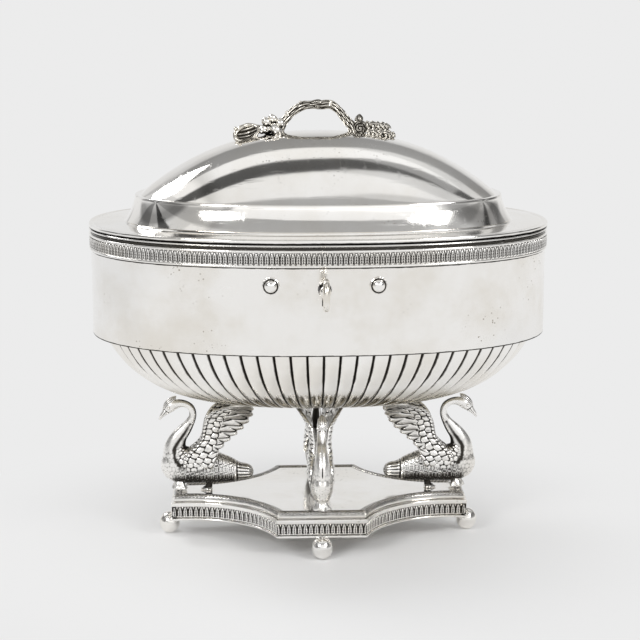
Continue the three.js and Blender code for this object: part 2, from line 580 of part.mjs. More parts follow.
function buildLid() {
  const footZ = BRIM_TOP_Z + 0.6;
  const rise = SHOULDER_TOP_Z - 0.1 - footZ;
  const outer = loft([
    rimOval(0, BRIM_UNDER_Z), rimOval(0, BRIM_TOP_Z - 0.3), rimOval(0.3, BRIM_TOP_Z),
    rimOval(SHOULDER_INSET, BRIM_TOP_Z),
    ...[0, 0.4, 1].map((share) => rimOval(shoulderInset(share), footZ + rise * share)),
    ...[1, 0.93, 0.81, 0.64, 0.42, 0.16].map((share) => domeLoop(share, 0)),
  ]);
  const inner = loft([
    rimOval(SHOULDER_INSET + 1.8, BRIM_UNDER_Z - 1), rimOval(SHOULDER_INSET + 1.8, BRIM_TOP_Z),
    rimOval(DOME_INSET + SHEET - 1, SHOULDER_TOP_Z - 3),
    ...[1, 0.85, 0.6, CEILING_SHARE].map((share) => domeLoop(share, SHEET)),
  ]);
  const posts = HANDLE_POSTS.map((x) => rod(POST_RADIUS + 0.3, 20, 'z', [x, 0, DOME_TOP_Z - 15], 10));
  addPart('lid_shell', toGeometry(cut(toSolid(outer), inner, ...posts)), POLISHED);
  const wireTop = LID_UNDER_Z + LID_WIRE_HEIGHT;
  addPart('lid_edge_wire', rimRing([
    [0.2, LID_UNDER_Z], [0, (LID_UNDER_Z + wireTop) / 2], [0.2, wireTop], [2.5, wireTop],
    [2.5, LID_UNDER_Z],
  ]), POLISHED);
  const bezelInset = WALL_INNER_INSET + BEZEL_CLEARANCE;
  addPart('lid_bezel', rimRing([
    [bezelInset, LID_UNDER_Z - BEZEL_DEPTH], [bezelInset, wireTop], [bezelInset + SHEET, wireTop],
    [bezelInset + SHEET, LID_UNDER_Z - BEZEL_DEPTH],
  ]), INSIDE);
}

// Handle: a bent branch on two posts, with berries and a curled leaf at its left root, a flower and
// two leaves at its right root. Heights are measured from the top of the dome.
const HANDLE_POSTS = [-15, 13];
const BRANCH = [
  [-15.2, -0.4, 2.2, 2.2], [-14.6, 3, 1.9, 1.9], [-12.2, 6.4, 1.8, 1.8], [-8.6, 9.2, 1.9, 1.9],
  [-4.6, 10.6, 1.8, 1.8], [-1.2, 10.6, 2.4, 2.4], [1.2, 10.3, 2.3, 2.3], [4.2, 10.4, 1.9, 1.9],
  [7.4, 8.6, 1.8, 1.8], [10, 5.8, 1.9, 1.9], [12.4, 3, 2, 2], [13.4, -0.6, 2.2, 2.2],
];
const LEFT_LEAF = [
  [-19.6, 0.2, 1.1, 1.8], [-22.6, 0.8, 1.3, 3.6], [-26.6, 1, 1.5, 4.9], [-30.6, 0.2, 1.6, 4.8],
  [-33.6, -1.4, 1.6, 3.7], [-35.1, -3.6, 1.2, 2],
];
const RIGHT_LEAVES = [
  [[17.5, 0, 1, 1.6], [20.6, 0.8, 1.4, 3.6], [24.2, 0.8, 1.6, 4.9], [28, -0.4, 1.5, 4.4],
    [31, -2.2, 1.3, 2.8], [32.6, -3.8, 0.9, 1.3]],
  [[18.5, 1.6, 1, 1.6], [22, 3.2, 1.2, 2.8], [26, 3.8, 1.2, 2.9], [29.6, 2.4, 1, 1.8]],
];
const LEAF_TILT = THREE.MathUtils.degToRad(30);
const leaf = (rows) => limb(rows, 8).rotateX(LEAF_TILT);
const BERRIES = [
  [-20.6, 0.8, 0, 2.6], [-17.8, 1.1, -2.9, 2.4], [-17.8, 1.1, 2.9, 2.4], [-21.2, 3.6, -1.8, 2.1],
  [-18.6, 4.2, 0.8, 2.2],
];

function berryCluster(grow) {
  return BERRIES.map(([x, z, y, radius]) => new THREE.SphereGeometry(radius + grow, 8, 5).translate(x, y, z));
}

function rosette(grow) {
  const petals = 5;
  const reach = 3.3 + grow;
  const levels = [[-3.4 - grow, 0.5], [-2.2, 1], [2.2, 1], [3.4 + grow, 0.5]];
  return loft(levels.map(([y, size]) => Array.from({ length: 4 * petals }, (_, i) => {
    const turn = (Math.PI * i) / (2 * petals);
    const radius = reach * size * (1 + 0.16 * Math.cos(petals * turn));
    return new THREE.Vector3(16.9 + radius * Math.sin(turn), y, 0.9 + radius * Math.cos(turn));
  })));
}

function flower(grow) {
  const bud = new THREE.IcosahedronGeometry(1.7 + grow, 1).scale(1, 1, 1.2).translate(16.6, 0, 4.8);
  return [rosette(grow), bud];
}

function buildHandle() {
  const dome = toSolid(loft([1, 0.8, 0.64, 0.42, 0.16].map((share) => domeLoop(share, -SEAT_GAP))));
  const raise = (geometry) => geometry.translate(0, 0, DOME_TOP_Z);
  const solids = (list) => unite(...list.map(raise));
  const trimmed = (solid, ...others) => others.reduce((rest, other) => rest.subtract(other), solid);
  const branch = (grow) => [limb(BRANCH, 7, grow)];
  const nutZ = ceilingZ() - SEAT_GAP - NUT_HEIGHT;
  const posts = HANDLE_POSTS.map((x) => rod(POST_RADIUS, DOME_TOP_Z + 2 - nutZ, 'z', [x, 0, nutZ - 1], 10));
  const stem = solids(branch(0)).subtract(dome).add(unite(...posts));
  addPart('handle_branch', toGeometry(stem), CAST);
  const stemRoom = solids(branch(SEAT_GAP));
  addPart('handle_berries', toGeometry(trimmed(solids(berryCluster(0)), dome, stemRoom)), CAST);
  addPart('handle_flower', toGeometry(trimmed(solids(flower(0)), dome, stemRoom)), CAST);
  const leftLeaf = solids([leaf(LEFT_LEAF)]);
  const besideBerries = trimmed(leftLeaf, dome, stemRoom, solids(berryCluster(SEAT_GAP)));
  addPart('handle_leaf_left', toGeometry(besideBerries), CAST);
  const rightLeaves = solids(RIGHT_LEAVES.map(leaf));
  const besideFlower = trimmed(rightLeaves, dome, stemRoom, solids(flower(SEAT_GAP)));
  addPart('handle_leaves_right', toGeometry(besideFlower), CAST);
  HANDLE_POSTS.forEach((x, i) => {
    const nut = sleeve(POST_RADIUS + 0.2, NUT_RADIUS, NUT_HEIGHT, 'z', [x, 0, nutZ], 6);
    addPart(`handle_nut_${i === 0 ? 'left' : 'right'}`, nut, INSIDE);
  });
}

// Lock behind the front wall: a case, a cover, a bolt that passes through the lid's staple.
const CASE_FRONT_Y = -halfWidthAt(LOCK_WIDTH / 2, WALL_INNER_INSET) + SEAT_GAP;
const CASE_BACK_Y = CASE_FRONT_Y + LOCK_DEPTH;
const CASE_TOP_Z = KEYHOLE_Z + LOCK_ABOVE_KEYHOLE;
const CASE_BOTTOM_Z = CASE_TOP_Z - LOCK_HEIGHT;
const STAPLE_Y = [CASE_FRONT_Y + 2.4, CASE_FRONT_Y + 6.6];
const BOLT_Y = (STAPLE_Y[0] + STAPLE_Y[1] - BOLT_THICK) / 2;
const BIT_Y = BOLT_Y + BOLT_THICK + 0.6;
const STAPLE_THICK = 2.5;
const EYE_BOTTOM_Z = KEYHOLE_Z + 3.9;

function buildLockCase() {
  const half = LOCK_WIDTH / 2;
  const inner = half - LOCK_WALL;
  const body = boxBetween([-half, CASE_FRONT_Y, CASE_BOTTOM_Z], [half, CASE_BACK_Y, CASE_TOP_Z]);
  const inset = WALL_INNER_INSET + SEAT_GAP;
  const low = STUD_Z - 5;
  const high = STUD_Z + 5;
  const ring = rimRing([[inset, low], [inset, high], [inset + SHEET, high], [inset + SHEET, low]]);
  const reach = STUD_SPACING / 2 + 3.8;
  const span = boxBetween([-reach, -RIM_B, low - 1], [reach, 0, high + 1]);
  const flange = toSolid(ring).intersect(toSolid(span));
  const pocket = boxBetween(
    [-inner, CASE_FRONT_Y + LOCK_WALL, CASE_BOTTOM_Z + LOCK_WALL],
    [inner, CASE_BACK_Y + 1, CASE_TOP_Z - LOCK_WALL],
  );
  const slot = boxBetween(
    [-STAPLE_THICK / 2 - 0.6, STAPLE_Y[0] - 1.1, CASE_TOP_Z - 3],
    [STAPLE_THICK / 2 + 0.6, STAPLE_Y[1] + 0.5, CASE_TOP_Z + 1],
  );
  const holes = [...keyholeCutters(WALL_INNER_Y - 1, LOCK_WALL + 3), ...studHoles()];
  const solid = cut(toSolid(body).add(flange), pocket, slot, ...holes);
  addPart('lock_case', toGeometry(solid), STEEL);
  const cover = boxBetween(
    [-half, CASE_BACK_Y + SEAT_GAP, CASE_BOTTOM_Z], [half, CASE_BACK_Y + SEAT_GAP + SHEET, CASE_TOP_Z],
  );
  const pinHole = rod(DRILL_PIN_RADIUS + 0.2, SHEET + 2, 'y', [0, CASE_BACK_Y - 0.5, KEYHOLE_Z], 12);
  addPart('lock_cover', toGeometry(cut(toSolid(cover), pinHole)), STEEL);
}

function buildBolt() {
  const floorZ = CASE_BOTTOM_Z + LOCK_WALL + SEAT_GAP;
  const armTop = KEYHOLE_Z - KEY_BIT_LENGTH - 0.6;
  const barLow = EYE_BOTTOM_Z + 0.5;
  const barHigh = barLow + 2.8;
  const tip = STAPLE_THICK / 2 + 0.55;
  const right = tip + 2 * BOLT_TRAVEL;
  const back = BOLT_Y + BOLT_THICK;
  const bolt = unite(
    boxBetween([tip, BOLT_Y, barLow], [right, back, barHigh]),
    boxBetween([right - 3.4, BOLT_Y, floorZ], [right, back, barHigh]),
    boxBetween([-6, BOLT_Y, floorZ], [right, back, armTop]),
    boxBetween([-6, BOLT_Y, floorZ], [-2.8, back, armTop + 2.6]),
    boxBetween([-6, BOLT_Y, armTop - 0.2], [-2.8, back + 2.4, armTop + 2.6]),
  );
  addPart('lock_bolt', toGeometry(bolt), STEEL);
  const [front, rear] = STAPLE_Y;
  const half = STAPLE_THICK / 2;
  const staple = boxBetween([-half, front, EYE_BOTTOM_Z - 1], [half, rear, BRIM_UNDER_Z - SEAT_GAP]);
  const eye = boxBetween([-2, front + 0.8, EYE_BOTTOM_Z], [2, rear - 0.8, EYE_BOTTOM_Z + 4.2]);
  addPart('lock_staple', toGeometry(cut(toSolid(staple), eye)), STEEL);
}

function buildKey() {
  const coverBack = CASE_BACK_Y + SEAT_GAP + SHEET;
  const pinFront = WALL_FRONT_Y - 1.5;
  const pin = unite(
    rod(DRILL_PIN_RADIUS, coverBack + 1 - pinFront, 'y', [0, pinFront, KEYHOLE_Z], 12),
    rod(2 * DRILL_PIN_RADIUS, 1, 'y', [0, coverBack + SEAT_GAP, KEYHOLE_Z], 12),
  );
  addPart('lock_drill_pin', toGeometry(pin), STEEL);
  const bitEnd = BIT_Y + 2.2;
  const bowDepth = 11;
  const bowCentreY = KEY_FRONT_Y + bowDepth / 2;
  const stemFront = KEY_FRONT_Y + bowDepth - KEY_WIRE_RADIUS;
  const halfBit = KEY_BIT_THICK / 2;
  const barrel = unite(
    rod(KEY_BARREL_RADIUS, bitEnd + 0.2 - stemFront, 'y', [0, stemFront, KEYHOLE_Z], 12),
    rod(KEY_BARREL_RADIUS + 0.9, 1.6, 'y', [0, stemFront + 1.6, KEYHOLE_Z], 12),
    boxBetween([-halfBit, BIT_Y, KEYHOLE_Z - KEY_BIT_LENGTH], [halfBit, bitEnd, KEYHOLE_Z]),
    keyBow(bowCentreY, bowDepth / 2 - KEY_WIRE_RADIUS, KEY_BOW_HEIGHT / 2 - KEY_WIRE_RADIUS),
  );
  const bore = rod(KEY_BORE_RADIUS, bitEnd + 2 - pinFront, 'y', [0, pinFront - 1, KEYHOLE_Z], 10);
  addPart('key', toGeometry(cut(barrel, bore)), STEEL);
}

function keyBow(centreY, halfDepth, halfHeight) {
  const sides = 6;
  const steps = 16;
  const points = [];
  const index = [];
  for (let i = 0; i < steps; i += 1) {
    const turn = (2 * Math.PI * i) / steps;
    for (let k = 0; k < sides; k += 1) {
      const round = (2 * Math.PI * k) / sides;
      const grow = KEY_WIRE_RADIUS * Math.cos(round);
      const y = centreY + (halfDepth + grow) * Math.cos(turn);
      const z = KEYHOLE_Z + (halfHeight + grow) * Math.sin(turn);
      points.push(new THREE.Vector3(KEY_WIRE_RADIUS * Math.sin(round), y, z));
      const [j, l] = [(i + 1) % steps, (k + 1) % sides];
      index.push(i * sides + k, j * sides + k, j * sides + l, i * sides + k, j * sides + l, i * sides + l);
    }
  }
  const geometry = new THREE.BufferGeometry().setFromPoints(points);
  geometry.setIndex(index);
  return geometry;
}

// Studs: domed heads over scalloped collars; their shanks hold the lock case.
function buildStuds() {
  const scallops = 8;
  [-1, 1].forEach((side) => {
    const name = side < 0 ? 'left' : 'right';
    const x = (side * STUD_SPACING) / 2;
    const disc = [-0.1 - COLLAR_THICK, -0.1].map((y) => Array.from({ length: 2 * scallops }, (_, i) => {
      const turn = (Math.PI * i) / scallops;
      const radius = COLLAR_RADIUS * (0.95 + 0.05 * Math.cos(scallops * turn));
      return new THREE.Vector3(radius * Math.sin(turn), y, radius * Math.cos(turn));
    }));
    const collar = cut(toSolid(loft(disc)), rod(STUD_SHANK_RADIUS + 0.2, 4, 'y', [0, -2, 0], 10));
    addPart(`stud_collar_${name}`, onFrontWall(toGeometry(collar), x, STUD_Z), POLISHED);
    const back = -0.1 - COLLAR_THICK - 0.1;
    const profile = [
      [0, back - 1.9], [STUD_HEAD_RADIUS * 0.55, back - 1.6], [STUD_HEAD_RADIUS * 0.9, back - 0.9],
      [STUD_HEAD_RADIUS, back], [0, back],
    ];
    const head = turned(profile, 10, 'y', [0, 0, 0]);
    const shank = rod(STUD_SHANK_RADIUS, 5, 'y', [0, back - 0.5, 0], 10);
    addPart(`stud_${name}`, onFrontWall(toGeometry(unite(head, shank)), x, STUD_Z), POLISHED);
  });
}

buildBase();
buildFeet();
buildSwans();
buildBowl();
buildDrum();
buildHinge();
buildLid();
buildHandle();
buildLockCase();
buildBolt();
buildKey();
buildStuds();

export default model;
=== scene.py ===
"""Oval silver sugar box: the fine surfaces, finishes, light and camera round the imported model."""
import random
from math import acos, atan, atan2, cos, hypot, pi, radians, sin, sqrt

import bmesh
import bpy
import numpy as np
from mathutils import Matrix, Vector


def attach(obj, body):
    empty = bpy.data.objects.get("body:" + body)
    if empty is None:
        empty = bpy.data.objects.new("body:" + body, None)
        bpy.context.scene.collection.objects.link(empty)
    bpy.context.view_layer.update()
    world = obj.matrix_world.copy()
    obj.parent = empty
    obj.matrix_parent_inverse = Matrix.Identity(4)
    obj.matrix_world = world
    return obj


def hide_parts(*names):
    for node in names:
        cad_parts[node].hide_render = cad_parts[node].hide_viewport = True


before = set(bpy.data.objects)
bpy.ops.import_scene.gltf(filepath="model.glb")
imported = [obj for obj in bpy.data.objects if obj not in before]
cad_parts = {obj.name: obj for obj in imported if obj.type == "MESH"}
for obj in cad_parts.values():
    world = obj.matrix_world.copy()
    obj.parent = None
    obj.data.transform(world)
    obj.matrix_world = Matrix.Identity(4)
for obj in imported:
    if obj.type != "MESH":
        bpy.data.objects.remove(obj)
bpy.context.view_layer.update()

# Sizes in millimetres, measured from the middle of the vessel; insets are taken from the rim's oval
MM = 0.001
SHIFT_Y = 6.2
SHARP = 35  # degrees between two faces, past which their edge is drawn sharp
RIM_A, RIM_B, POWER = 95.0, 61.4, 2.3
WALL_INSET = 0.9
FIELD_Z = 18.8
FLUTES = 72
BOWL_A, BOWL_B, BOWL_TOP_Z, BOWL_DEPTH = 89.4, 55.8, 89.1, 29.1
BOWL_POWERS = 4.65, 1.21
DRUM_BOTTOM_Z, DRUM_TOP_Z = 89.4, 131.9
BAND_BOTTOM_Z, BAND_TOP_Z = 124.4, 131.2
BRIM_UNDER_Z, BRIM_TOP_Z = 133.7, 135.1
SHOULDER_TOP_Z, DOME_TOP_Z = 146.1, 171.9
DOME_A, DOME_B, DOME_RISE = 73.5, 39.9, 25.8
DOME_POWERS = 2.31, 1.05
KEYHOLE_Z, KEYHOLE_RADIUS = 115.9, 2.75
STUD_X, STUD_Z, STUD_RADIUS = 20.75, 117.3, 2.5
SWANS = {"left": (-46.6, 0, pi), "right": (46.6, 0, 0), "front": (0, -21, -pi / 2),
         "back": (0, 21, pi / 2)}


# ---------------------------------------------------------------- meshes
def add_mesh(name, points, faces):
    mesh = bpy.data.meshes.new(name)
    mesh.from_pydata(points, [], faces)
    thing = bpy.data.objects.new(name, mesh)
    bpy.context.scene.collection.objects.link(thing)
    return thing


def in_metres(points):
    return [(x * MM, (y + SHIFT_Y) * MM, z * MM) for x, y, z in points]


def shade_smooth(mesh, sharp):
    mesh.polygons.foreach_set("use_smooth", [True] * len(mesh.polygons))
    mesh.set_sharp_from_angle(angle=radians(sharp))


def add_piece(name, build, body, material, nodes=(), sharp=SHARP, outwards=False,
              chase=None, painted_shade=0.0):
    """Makes one visible piece; chase gives (rounds, gain) for the hollows of chased work, and the painted shade
    darkens it further.
    """
    piece = add_mesh(name, in_metres(build.points), build.faces)
    piece.data.validate()
    shade_smooth(piece.data, sharp)
    piece.data.materials.append(material)
    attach(piece, body)
    if nodes:
        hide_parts(*nodes)
    if outwards:
        face_outwards(piece)
    if chase:
        set_cavity(piece, *chase, painted_shade)
    return piece


def edit(piece, change):
    mesh = bmesh.new()
    mesh.from_mesh(piece.data)
    change(mesh)
    mesh.to_mesh(piece.data)
    mesh.free()


def face_outwards(piece):
    edit(piece, lambda mesh: bmesh.ops.recalc_face_normals(mesh, faces=mesh.faces))


def weld(piece, distance=0.002):
    edit(piece, lambda mesh: bmesh.ops.remove_doubles(mesh, verts=mesh.verts, dist=distance * MM))


def evaluated(thing):
    """The object's mesh after its modifiers."""
    return bpy.data.meshes.new_from_object(thing.evaluated_get(bpy.context.evaluated_depsgraph_get()))


def cut_away(piece, cutter):
    """Cuts the closed piece by the closed cutter and keeps its smooth shading."""
    tool = add_mesh("cutter", in_metres(cutter.points), cutter.faces)
    face_outwards(tool)
    step = piece.modifiers.new("hole", "BOOLEAN")
    step.operation, step.solver, step.object = "DIFFERENCE", "EXACT", tool
    result = evaluated(piece)
    piece.modifiers.remove(step)
    bpy.data.objects.remove(tool)
    old, piece.data = piece.data, result
    bpy.data.meshes.remove(old)
    shade_smooth(result, SHARP)


def grid_faces(rows, columns, wrap_rows=False, start=0):
    faces = []
    for k in range(rows if wrap_rows else rows - 1):
        low, high = start + k * columns, start + ((k + 1) % rows) * columns
        for i in range(columns):
            j = (i + 1) % columns
            faces.append((low + i, low + j, high + j, high + i))
    return faces


class Build:
    """Collects points and faces of one piece."""

    def __init__(self, loops=None, **caps):
        self.points, self.faces = [], []
        if loops is not None:
            self.loft(loops, **caps)

    def add(self, points, faces):
        start = len(self.points)
        self.points.extend([tuple(map(float, p)) for p in points])
        self.faces.extend([tuple(i + start for i in f) for f in faces])
        return self

    def join(self, *others):
        for other in others:
            self.add(other.points, other.faces)
        return self

    def moved(self, move, *values):
        """A copy whose points went through a function of them all."""
        return Build().add(move(np.array(self.points), *values), self.faces)

    def loft(self, loops, joined=False, low_cap=True, high_cap=True):
        """Skins loops that run counter-clockwise from above, in rising order on the outside."""
        count = len(loops[0])
        points = [p for loop in loops for p in loop]
        faces = grid_faces(len(loops), count, wrap_rows=joined)
        for wanted, row, flip in ((low_cap, 0, True), (high_cap, len(loops) - 1, False)):
            if wanted and not joined:
                hub = len(points)
                points.append(tuple(np.mean(np.array(loops[row], dtype=float), axis=0)))
                for i in range(count):
                    a, b = row * count + i, row * count + (i + 1) % count
                    faces.append((hub, b, a) if flip else (hub, a, b))
        return self.add(points, faces)


# ---------------------------------------------------------------- curves
def turns(count):
    return np.arange(count) / count * 2 * pi


def ring(x, y, z):
    """A loop of points from arrays, or from single numbers that its points share."""
    return np.stack(np.broadcast_arrays(x, y, z), axis=1)


def round_ring(x, y, z, reach, turn, wide=1.0):
    """A ring about the vertical; wide stretches it along Y."""
    return ring(x + reach * np.cos(turn), y + wide * reach * np.sin(turn), z)


def bell(distance, width):
    return np.exp(-(distance / width) ** 2)


def round_top(fall):
    return np.sqrt(np.clip(1 - fall, 0, 1))


def ridged(phase, power):
    """Rounded ridges, one for each half turn of the phase."""
    return np.abs(np.sin(phase)) ** power


def smooth_step(value, low, high):
    t = np.clip((value - low) / (high - low), 0, 1)
    return t * t * (3 - 2 * t)


def arch(share, powers):
    """Section of the dome, and upside down of the bowl: 1 in the middle and 0 at the edge."""
    return (1 - share ** powers[0]) ** (1 / powers[1])


def vault(shares, a, b, edge_z, rise, powers, angles):
    """Ovals from an edge up to a crown, or down to it where the rise is negative."""
    return [loop_at(a * share, b * share, edge_z + rise * arch(share, powers), angles) for share in shares]


def spread(values):
    return np.sign(values) * np.abs(values) ** (2 / POWER)


def loop_at(a, b, z, angles):
    return ring(a * spread(np.cos(angles)), b * spread(np.sin(angles)), z)


def rim_loop(inset, z, angles):
    return loop_at(RIM_A - inset, RIM_B - inset, z, angles)


def rim_ring(section, angles):
    return Build([rim_loop(inset, z, angles) for inset, z in section], joined=True)


def even_angles(steps):
    """Angles whose points are spaced evenly along the rim."""
    fine = np.linspace(0, 2 * pi, 14401)
    x, y, _ = rim_loop(0, 0, fine).T
    reach = np.concatenate([[0], np.cumsum(np.hypot(np.diff(x), np.diff(y)))])
    return np.interp(np.arange(steps) / steps * reach[-1], reach, fine)


def half_width(x, inset):
    return (RIM_B - inset) * (1 - abs(x / (RIM_A - inset)) ** POWER) ** (1 / POWER)


def oval_share(p, a, b):
    """How far out points lie in an oval, from 0 in its middle to 1 on its edge and beyond."""
    return np.clip((np.abs(p[:, 0] / a) ** POWER + np.abs(p[:, 1] / b) ** POWER) ** (1 / POWER), 0, 1)


def rounded(section, radius, steps=3):
    """Rounds the corners of a closed section of (inset, z) points."""
    result = []
    count = len(section)
    for k in range(count):
        before, here, after = (np.array(section[(k + d) % count], dtype=float) for d in (-1, 0, 1))
        one, other = before - here, after - here
        reach = min(radius, np.linalg.norm(one) * 0.45, np.linalg.norm(other) * 0.45)
        start, end = (here + arm / np.linalg.norm(arm) * reach for arm in (one, other))
        for t in np.arange(steps + 1) / steps:
            result.append(tuple((1 - t) ** 2 * start + 2 * t * (1 - t) * here + t * t * end))
    return result


def half_round(low, high, back, depth=None):
    """Section of a half-round moulding between two heights, with its back at an inset."""
    middle, half = (low + high) / 2, (high - low) / 2
    depth = depth or half
    front = [(depth - depth * cos(t), middle + half * sin(t)) for t in np.linspace(-1.5, 1.5, 9)]
    return front + [(back, high), (back, low)]


def curve_through(rows, count):
    """Evenly spaced rows on a smooth curve through the given rows, whose first two columns are a place."""
    rows = np.array(rows, dtype=float)
    padded = np.vstack([2 * rows[0] - rows[1], rows, 2 * rows[-1] - rows[-2]])
    t = np.linspace(0, 1, 24, endpoint=False)[:, None]
    dense = np.vstack([0.5 * (2 * p1 + (p2 - p0) * t + (2 * p0 - 5 * p1 + 4 * p2 - p3) * t ** 2
                              + (3 * p1 - p0 - 3 * p2 + p3) * t ** 3)
                       for p0, p1, p2, p3 in zip(padded, padded[1:], padded[2:], padded[3:])] + [rows[-1]])
    reach = np.concatenate([[0], np.cumsum(np.linalg.norm(np.diff(dense[:, :2], axis=0), axis=1))])
    wanted = np.linspace(0, reach[-1], count)
    return np.stack([np.interp(wanted, reach, column) for column in dense.T], axis=1)


def path_through(rows, count):
    """The rows of curve_through, and the unit heading in the X-Z plane at each."""
    line = curve_through(rows, count)
    heading = np.gradient(line[:, :2], axis=0)
    return line, heading / np.linalg.norm(heading, axis=1)[:, None]


def ring_across(x, z, heading, radius, width, turn):
    """An oval ring that stands across a path in the X-Z plane."""
    return ring(x + heading[1] * radius * np.cos(turn), width * np.sin(turn),
                z - heading[0] * radius * np.cos(turn))


def limb(rows, count, sides):
    """Oval rings across a path, given as [x, z, radius, half width across]."""
    return Build([ring_across(x, z, heading, max(radius, 0.05), max(width, 0.05), turns(sides))
                  for (x, z, radius, width), heading in zip(*path_through(rows, count))])


def ball(centre, radius, sides=14, rings=9):
    x, y, z = centre
    return Build([round_ring(x, y, z - radius * cos(polar), radius * sin(polar), turns(sides))
                  for polar in pi * np.arange(1, rings) / rings])


def turned(profile, sides, place):
    """Turns a profile of (radius, distance along the axis), closed at both ends; place lays out a ring."""
    turn = turns(sides)
    return Build([ring(*place(r * np.sin(turn), r * np.cos(turn), along)) for r, along in profile])


def along_y(sine, cosine, along):
    return sine, along, cosine


def set_down(points, x, y, z, turn):
    """Points turned about the vertical and moved to a place."""
    px, py, pz = points.T
    return ring(x + cos(turn) * px - sin(turn) * py, y + sin(turn) * px + cos(turn) * py, z + pz)


def tilted(points, tilt, shift=0.0):
    """Points turned about the X axis, and shifted to the back."""
    x, y, z = points.T
    return ring(x, y * cos(tilt) - z * sin(tilt) + shift, y * sin(tilt) + z * cos(tilt))


# ---------------------------------------------------------------- hollows of chased work
def values_of(items, key, width, kind=float):
    values = np.empty(len(items) * width, dtype=kind)
    items.foreach_get(key, values)
    return values.reshape(-1, width)


class Links:
    """The edges of a mesh, to average values over the neighbours of each point."""

    def __init__(self, mesh):
        self.a, self.b = values_of(mesh.edges, "vertices", 2, np.int64).T
        uses = np.bincount(np.concatenate([self.a, self.b]), minlength=len(mesh.vertices))
        self.degree = np.maximum(uses, 1)[:, None]

    def mean(self, at_a, at_b):
        total = np.zeros((len(self.degree), at_a.shape[1]))
        np.add.at(total, self.a, at_a)
        np.add.at(total, self.b, at_b)
        return total / self.degree

    def around(self, values):
        return self.mean(values[self.b], values[self.a])


def set_cavity(piece, rounds, gain, painted_shade):
    """Writes how hollow (0) or proud (1) each point lies, for the dark ground of chased work, darkened further by the
    painted shade given.
    """
    mesh = piece.data
    places, normals = (values_of(mesh.vertices, key, 3) for key in ("co", "normal"))
    links = Links(mesh)
    length = np.linalg.norm(places[links.a] - places[links.b], axis=1)[:, None]
    mean_length = np.maximum(links.mean(length, length), 1e-9)
    smooth = places
    for _ in range(rounds):
        smooth = links.around(smooth)
    bend = np.sum(normals * (places - smooth), axis=1, keepdims=True) / mean_length * gain
    bend = (bend + links.around(bend))[:, 0] / 2
    layer = mesh.attributes.new("cavity", "FLOAT", "POINT")
    # the painted shade is taken off the hollowness, so it darkens the colour like oxide
    layer.data.foreach_set("value", np.clip(0.5 + bend - painted_shade, 0, 1).astype(np.float32))


def fused(builds, voxel, relax):
    """Joins overlapping closed pieces into one skin, and softens where they meet."""
    joined = Build().join(*builds)
    rough = add_mesh("rough", joined.points, joined.faces)
    remesh = rough.modifiers.new("skin", "REMESH")
    remesh.mode, remesh.voxel_size = "VOXEL", voxel
    skin = evaluated(rough)
    bpy.data.objects.remove(rough)
    points, links = values_of(skin.vertices, "co", 3), Links(skin)
    for _ in range(relax):
        points = 0.4 * points + 0.6 * links.around(points)
    faces = [tuple(f.vertices) for f in skin.polygons]
    skin.vertices.foreach_set("co", points.ravel())
    skin.update()
    normals = values_of(skin.vertices, "normal", 3)
    bpy.data.meshes.remove(skin)
    return points, normals, faces


# ---------------------------------------------------------------- finishes
class Nodes:
    """Short names for the nodes of one tree."""

    def __init__(self, tree):
        self.tree = tree
        self.tree.nodes.clear()

    def put(self, target, value):
        if isinstance(value, (int, float, tuple)):
            target.default_value = value
        else:
            self.tree.links.new(value, target)

    def node(self, kind, inputs=(), **values):
        """A node whose inputs are given by place or by name, as numbers or as sockets to link."""
        node = self.tree.nodes.new("ShaderNode" + kind)
        for key, value in values.items():
            setattr(node, key, value)
        for key, value in inputs.items() if isinstance(inputs, dict) else enumerate(inputs):
            self.put(node.inputs[key], value)
        return node

    def split(self, place):
        return self.node("SeparateXYZ", [place]).outputs

    def span(self, value, low, high, to_low=0.0, to_high=1.0, smooth=True):
        return self.node("MapRange", [value, low, high, to_low, to_high],
                         interpolation_type="SMOOTHSTEP" if smooth else "LINEAR").outputs["Result"]

    def math(self, operation, one, other):
        return self.node("Math", [one, other], operation=operation).outputs[0]

    def times(self, one, other):
        return self.math("MULTIPLY", one, other)

    def centred(self, noise, amount):
        return self.times(self.math("SUBTRACT", noise, 0.5), amount)

    def mix(self, factor, one, other, blend="MIX"):
        node = self.node("Mix", data_type="RGBA", blend_type=blend)
        sockets = [node.inputs["Factor"]] + [s for s in node.inputs if s.type == "RGBA"]
        for socket, value in zip(sockets, (factor, one, other)):
            self.put(socket, value)
        return next(s for s in node.outputs if s.type == "RGBA")

    def ramp(self, value, stops):
        """A ramp of greys, given as (place, level)."""
        node = self.node("ValToRGB", [value])
        elements = node.color_ramp.elements
        while len(elements) < len(stops):
            elements.new(0.5)
        for element, (at, level) in zip(elements, stops):
            element.position, element.color = at, (level, level, level, 1)
        return node.outputs["Color"]


